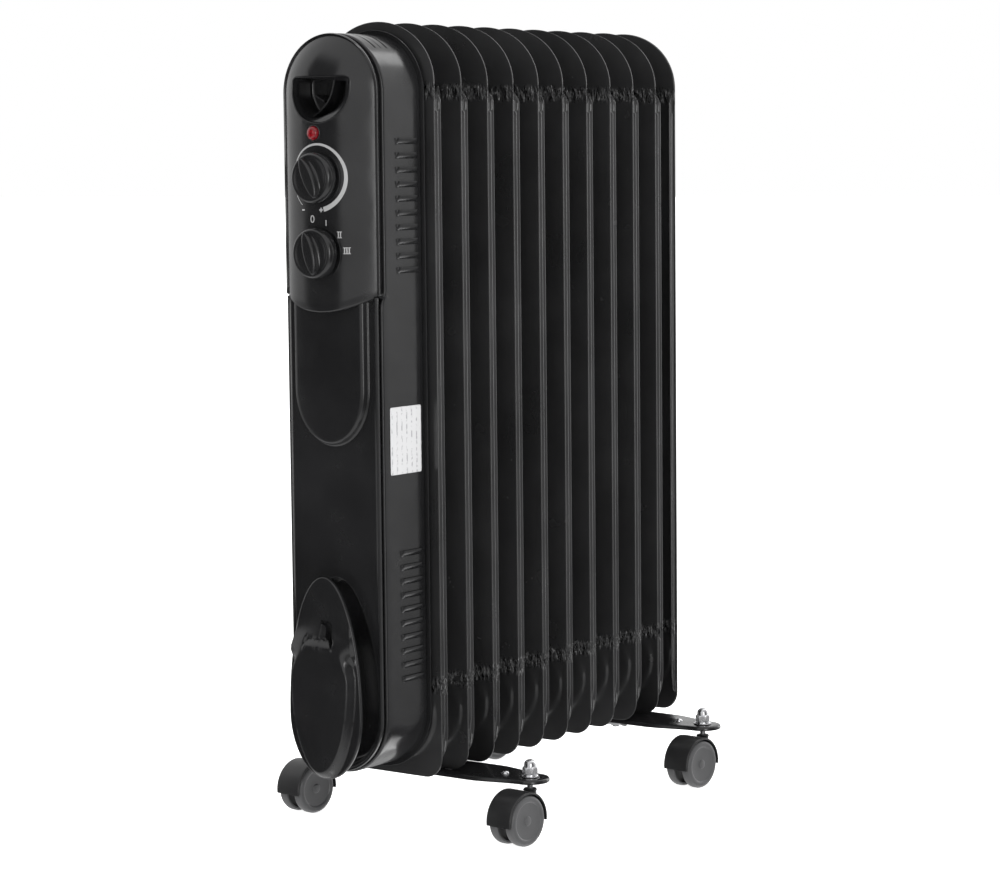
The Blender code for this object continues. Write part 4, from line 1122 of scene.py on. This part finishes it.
def make_stem(name, place):
    """The caster's stem: a pin, a collar under the foot plate and a threaded end."""
    stem = [(0.0, 26.5), (2.2, 26.5), (2.2, 42.3), (2.4, 45.3), (4.4, 45.6), (4.6, 46.0), (4.6, 48.2)]
    stem.append((3.0, 48.35))
    for step in range(7):
        stem += [(2.95, 48.6 + step * 0.75), (2.7, 48.97 + step * 0.75)]
    stem += [(2.9, 54.0), (2.9, 57.5), (2.3, 58.2), (0.0, 58.3)]
    piece(f"stem_{name}", lathe(stem, 28, place), ZINC, f"caster_stem_{name}", sharp=30)


TRAIL, AXLE_Z, REST_TURN = 16.3, 20.0, math.radians(-4.6)
# The hood reaches from its rear edge over the wheels to its front edge, in degrees.
HOOD_START, HOOD_STOP = -6.4, 186.4
HOOD_SECTION = (
    (-12.0, 20.9), (-12.3, 21.4), (-12.2, 22.0), (-11.6, 22.45), (-10.4, 22.6), (0.0, 22.6),
    (10.4, 22.6), (11.6, 22.45), (12.2, 22.0), (12.3, 21.4), (12.0, 20.9), (0.0, 20.8),
)
HOOD_WEB = ((-3.3, 20.2), (-3.0, 20.9), (3.0, 20.9), (3.3, 20.2))
AXLE_BUSH = ((2.4, -3.4), (6.5, -3.4), (6.5, 3.4), (2.4, 3.4), (2.4, -3.4))
STEM_SOCKET = (
    (2.5, 5.0), (4.9, 5.0), (4.9, 20.2), (5.6, 20.6), (5.1, 21.3), (4.95, 21.7), (4.5, 21.9),
    (2.5, 21.9), (2.5, 5.0),
)
AXLE = ((0.0, -10.3), (1.6, -10.3), (2.0, -9.9), (2.0, 9.9), (1.6, 10.3), (0.0, 10.3))
WHEEL = (
    (0.0, 11.9), (3.0, 11.9), (3.5, 11.6), (3.9, 10.9), (6.0, 10.75), (12.5, 11.2), (14.3, 11.5),
    (14.9, 12.1), (15.6, 12.45), (17.3, 12.5), (18.6, 12.1), (19.5, 11.2), (20.0, 9.8), (20.0, 6.2),
    (19.7, 5.0), (18.9, 4.2), (17.6, 4.05), (17.2, 4.6), (17.0, 9.6), (6.2, 9.6), (6.0, 4.05),
    (2.4, 4.05), (2.4, 10.4), (0.0, 10.4),
)


def make_caster(name, x, y):
    """Everything of one caster, built round its own axle and stem."""
    place = shift(x, y, 0.0)
    make_nut(name, place)
    make_stem(name, place)
    axle = place @ Matrix.Rotation(REST_TURN, 4, "Z") @ shift(0.0, -TRAIL, AXLE_Z)
    rings = []
    for cos, sin in arc((0.0, 0.0), 1.0, 1.0, HOOD_START, HOOD_STOP, 56):
        rings.append([(u, r * cos, r * sin) for u, r in HOOD_SECTION])
    bm = solid(rings)
    web = []
    for u, reach in HOOD_WEB:
        web.append([(u, *p) for p in arc((0.0, 0.0), reach, reach, HOOD_START, HOOD_STOP, 48)])
    merge(bm, solid(web))
    merge(bm, lathe(AXLE_BUSH, 32, FACE_SIDE))
    merge(bm, lathe(STEM_SOCKET, 32, shift(0.0, TRAIL, 0.0)))
    hood, wheels = f"caster_{name}", f"wheels_{name}"
    piece(f"hood_{name}", moved(bm, axle), NYLON, f"caster_hood_{name}", hood, 45)
    piece(f"axle_{name}", lathe(AXLE, 24, FACE_SIDE, axle), ZINC, f"caster_axle_{name}", wheels)
    for label, sign in (("inner", -1), ("outer", 1)):
        flip = Matrix.Rotation(math.pi if sign * x < 0 else 0.0, 4, "Z")
        bm = lathe(WHEEL, 56, FACE_SIDE, flip, axle)
        piece(f"wheel_{name}_{label}", bm, GREY, f"caster_wheel_{name}_{label}", wheels, 35)


# ---------------------------------------------------------------- the object

make_sections()
make_headers()
make_housing()
make_shield_plate()
make_cover()
make_pocket()
make_dial_print()
make_knob("thermostat_knob", THERMOSTAT_Z, math.radians(-25))
make_knob("power_knob", POWER_Z, math.radians(-15))
make_lamp()
make_panel()
make_raised_shield()
make_winder()
make_gland()
make_rating_film()
for end, clamp_y, side in CLAMPS:
    middle = clamp_y + side * FOOT_SHIFT
    make_foot(end, clamp_y, middle)
    make_clamp(end, clamp_y)
    for hand, x in (("left", -CASTER_X), ("right", CASTER_X)):
        make_caster(f"{end}_{hand}", x, middle)

INSIDE = {
    "heating_element": ZINC,
    "oil_filler_plug": ZINC,
    "thermostat": TIN,
    "power_switch": SATIN,
    "thermal_cutout": TIN,
}
for node, (paint, _) in INSIDE.items():
    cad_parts[node].data.materials.clear()
    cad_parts[node].data.materials.append(paint)


# ---------------------------------------------------------------- floor, light

FLOOR_HALF = 30.0


def make_floor():
    """Plain paper that glows a little, so that it stays white under the soft light."""
    corners = [(-1, -1), (1, -1), (1, 1), (-1, 1)]
    mesh = bpy.data.meshes.new("floor")
    mesh.from_pydata([(a * FLOOR_HALF, b * FLOOR_HALF, 0) for a, b in corners], [], [(0, 1, 2, 3)])
    floor = bpy.data.objects.new("floor", mesh)
    bpy.context.collection.objects.link(floor)
    paper, _, sockets = new_material("paper", (0.9, 0.9, 0.9), 0.9)
    sockets["Emission Color"].default_value = (1.0, 1.0, 1.0, 1.0)
    sockets["Emission Strength"].default_value = 0.9
    mesh.materials.append(paper)
    floor.visible_glossy = False


def area_light(name, place, target, size, power):
    light = bpy.data.lights.new(name, "AREA")
    light.shape = "RECTANGLE"
    light.size, light.size_y = size
    light.energy = power
    obj = bpy.data.objects.new(name, light)
    obj.location = place
    towards = Vector(target) - Vector(place)
    obj.rotation_euler = towards.to_track_quat("-Z", "Y").to_euler()
    obj.visible_glossy = False
    bpy.context.collection.objects.link(obj)


# Places in degrees round the object, from the control panel towards +X.
DARK_WALL, DARK_FLANK, STRIP_LIGHT, WINDOW = (-57.0, -11.0), (72.0, 116.0), (157.0, 178.0), (45.0, 59.0)
FLANK_SHARE, STRIP_SHARE, WINDOW_SHARE, WALL_SHARE, LEVEL = 0.78, 2.4, 5.0, 0.94, 0.9
SOFT = math.radians(4.0)


def make_world():
    """White for the camera. Reflections see a pale studio with dark walls and bright strips."""
    world = bpy.data.worlds.new("studio")
    bpy.context.scene.world = world
    kit = Kit(world, "Generated")
    x, y, z = kit.axes()
    azimuth = kit.math("ARCTAN2", x, kit.math("MULTIPLY", y, -1.0))
    tilt = kit.math("ABSOLUTE", z)

    def stretch(limits, soft, height):
        return kit.between(azimuth, *(math.radians(a) for a in limits), soft, height)

    steep = kit.ranged(tilt, 1.0, 0.0, 0.5, 0.72)
    wall = kit.math("MULTIPLY", stretch(DARK_WALL, SOFT, 1.0), steep)
    # A darker stretch of the studio to the right, between the two bright windows.
    flank = kit.math("MULTIPLY", stretch(DARK_FLANK, SOFT, FLANK_SHARE), steep)
    share = kit.math("SUBTRACT", kit.math("MULTIPLY", wall, -WALL_SHARE), flank)
    # A tall strip light behind the right side, which draws the thin lines on every rolled edge.
    share = kit.math("ADD", share, stretch(STRIP_LIGHT, SOFT / 2, STRIP_SHARE))
    # A small bright window to the front right, which the rounded edges of the knobs catch.
    flat = kit.ranged(tilt, 1.0, 0.0, 0.22, 0.34)
    window = kit.math("MULTIPLY", stretch(WINDOW, SOFT / 2, WINDOW_SHARE), flat)
    share = kit.math("ADD", share, window)
    # Level directions are brighter than those that fall to the floor far behind.
    falling = kit.ranged(z, 0.4, 1.0, -0.2, 0.03)
    rising = kit.ranged(z, 1.0, 0.0, -0.6, -0.3)
    lit = kit.math("MULTIPLY", kit.math("MAXIMUM", falling, rising), LEVEL)
    seen = kit.math("MULTIPLY", lit, kit.math("ADD", share, 1.0))
    glossy = kit.add("LightPath", {}).outputs["Is Glossy Ray"]
    strength = kit.math("ADD", kit.math("SUBTRACT", 1.0, glossy), kit.math("MULTIPLY", glossy, seen))
    sky = kit.nodes["Background"]
    kit.set(sky.inputs["Strength"], strength)
    sky.inputs["Color"].default_value = (1.0, 1.0, 1.0, 1.0)


make_floor()
area_light("key", (-1.6, -2.6, 2.6), (0, 0, 0.3), (1.6, 1.6), 25)
area_light("side", (3.2, 0.4, 1.3), (0, 0, 0.35), (0.9, 2.2), 20)
area_light("top", (0.3, 0.4, 3.2), (0, 0, 0.3), (2.0, 2.0), 30)
make_world()
bpy.context.scene.view_settings.view_transform = "Standard"
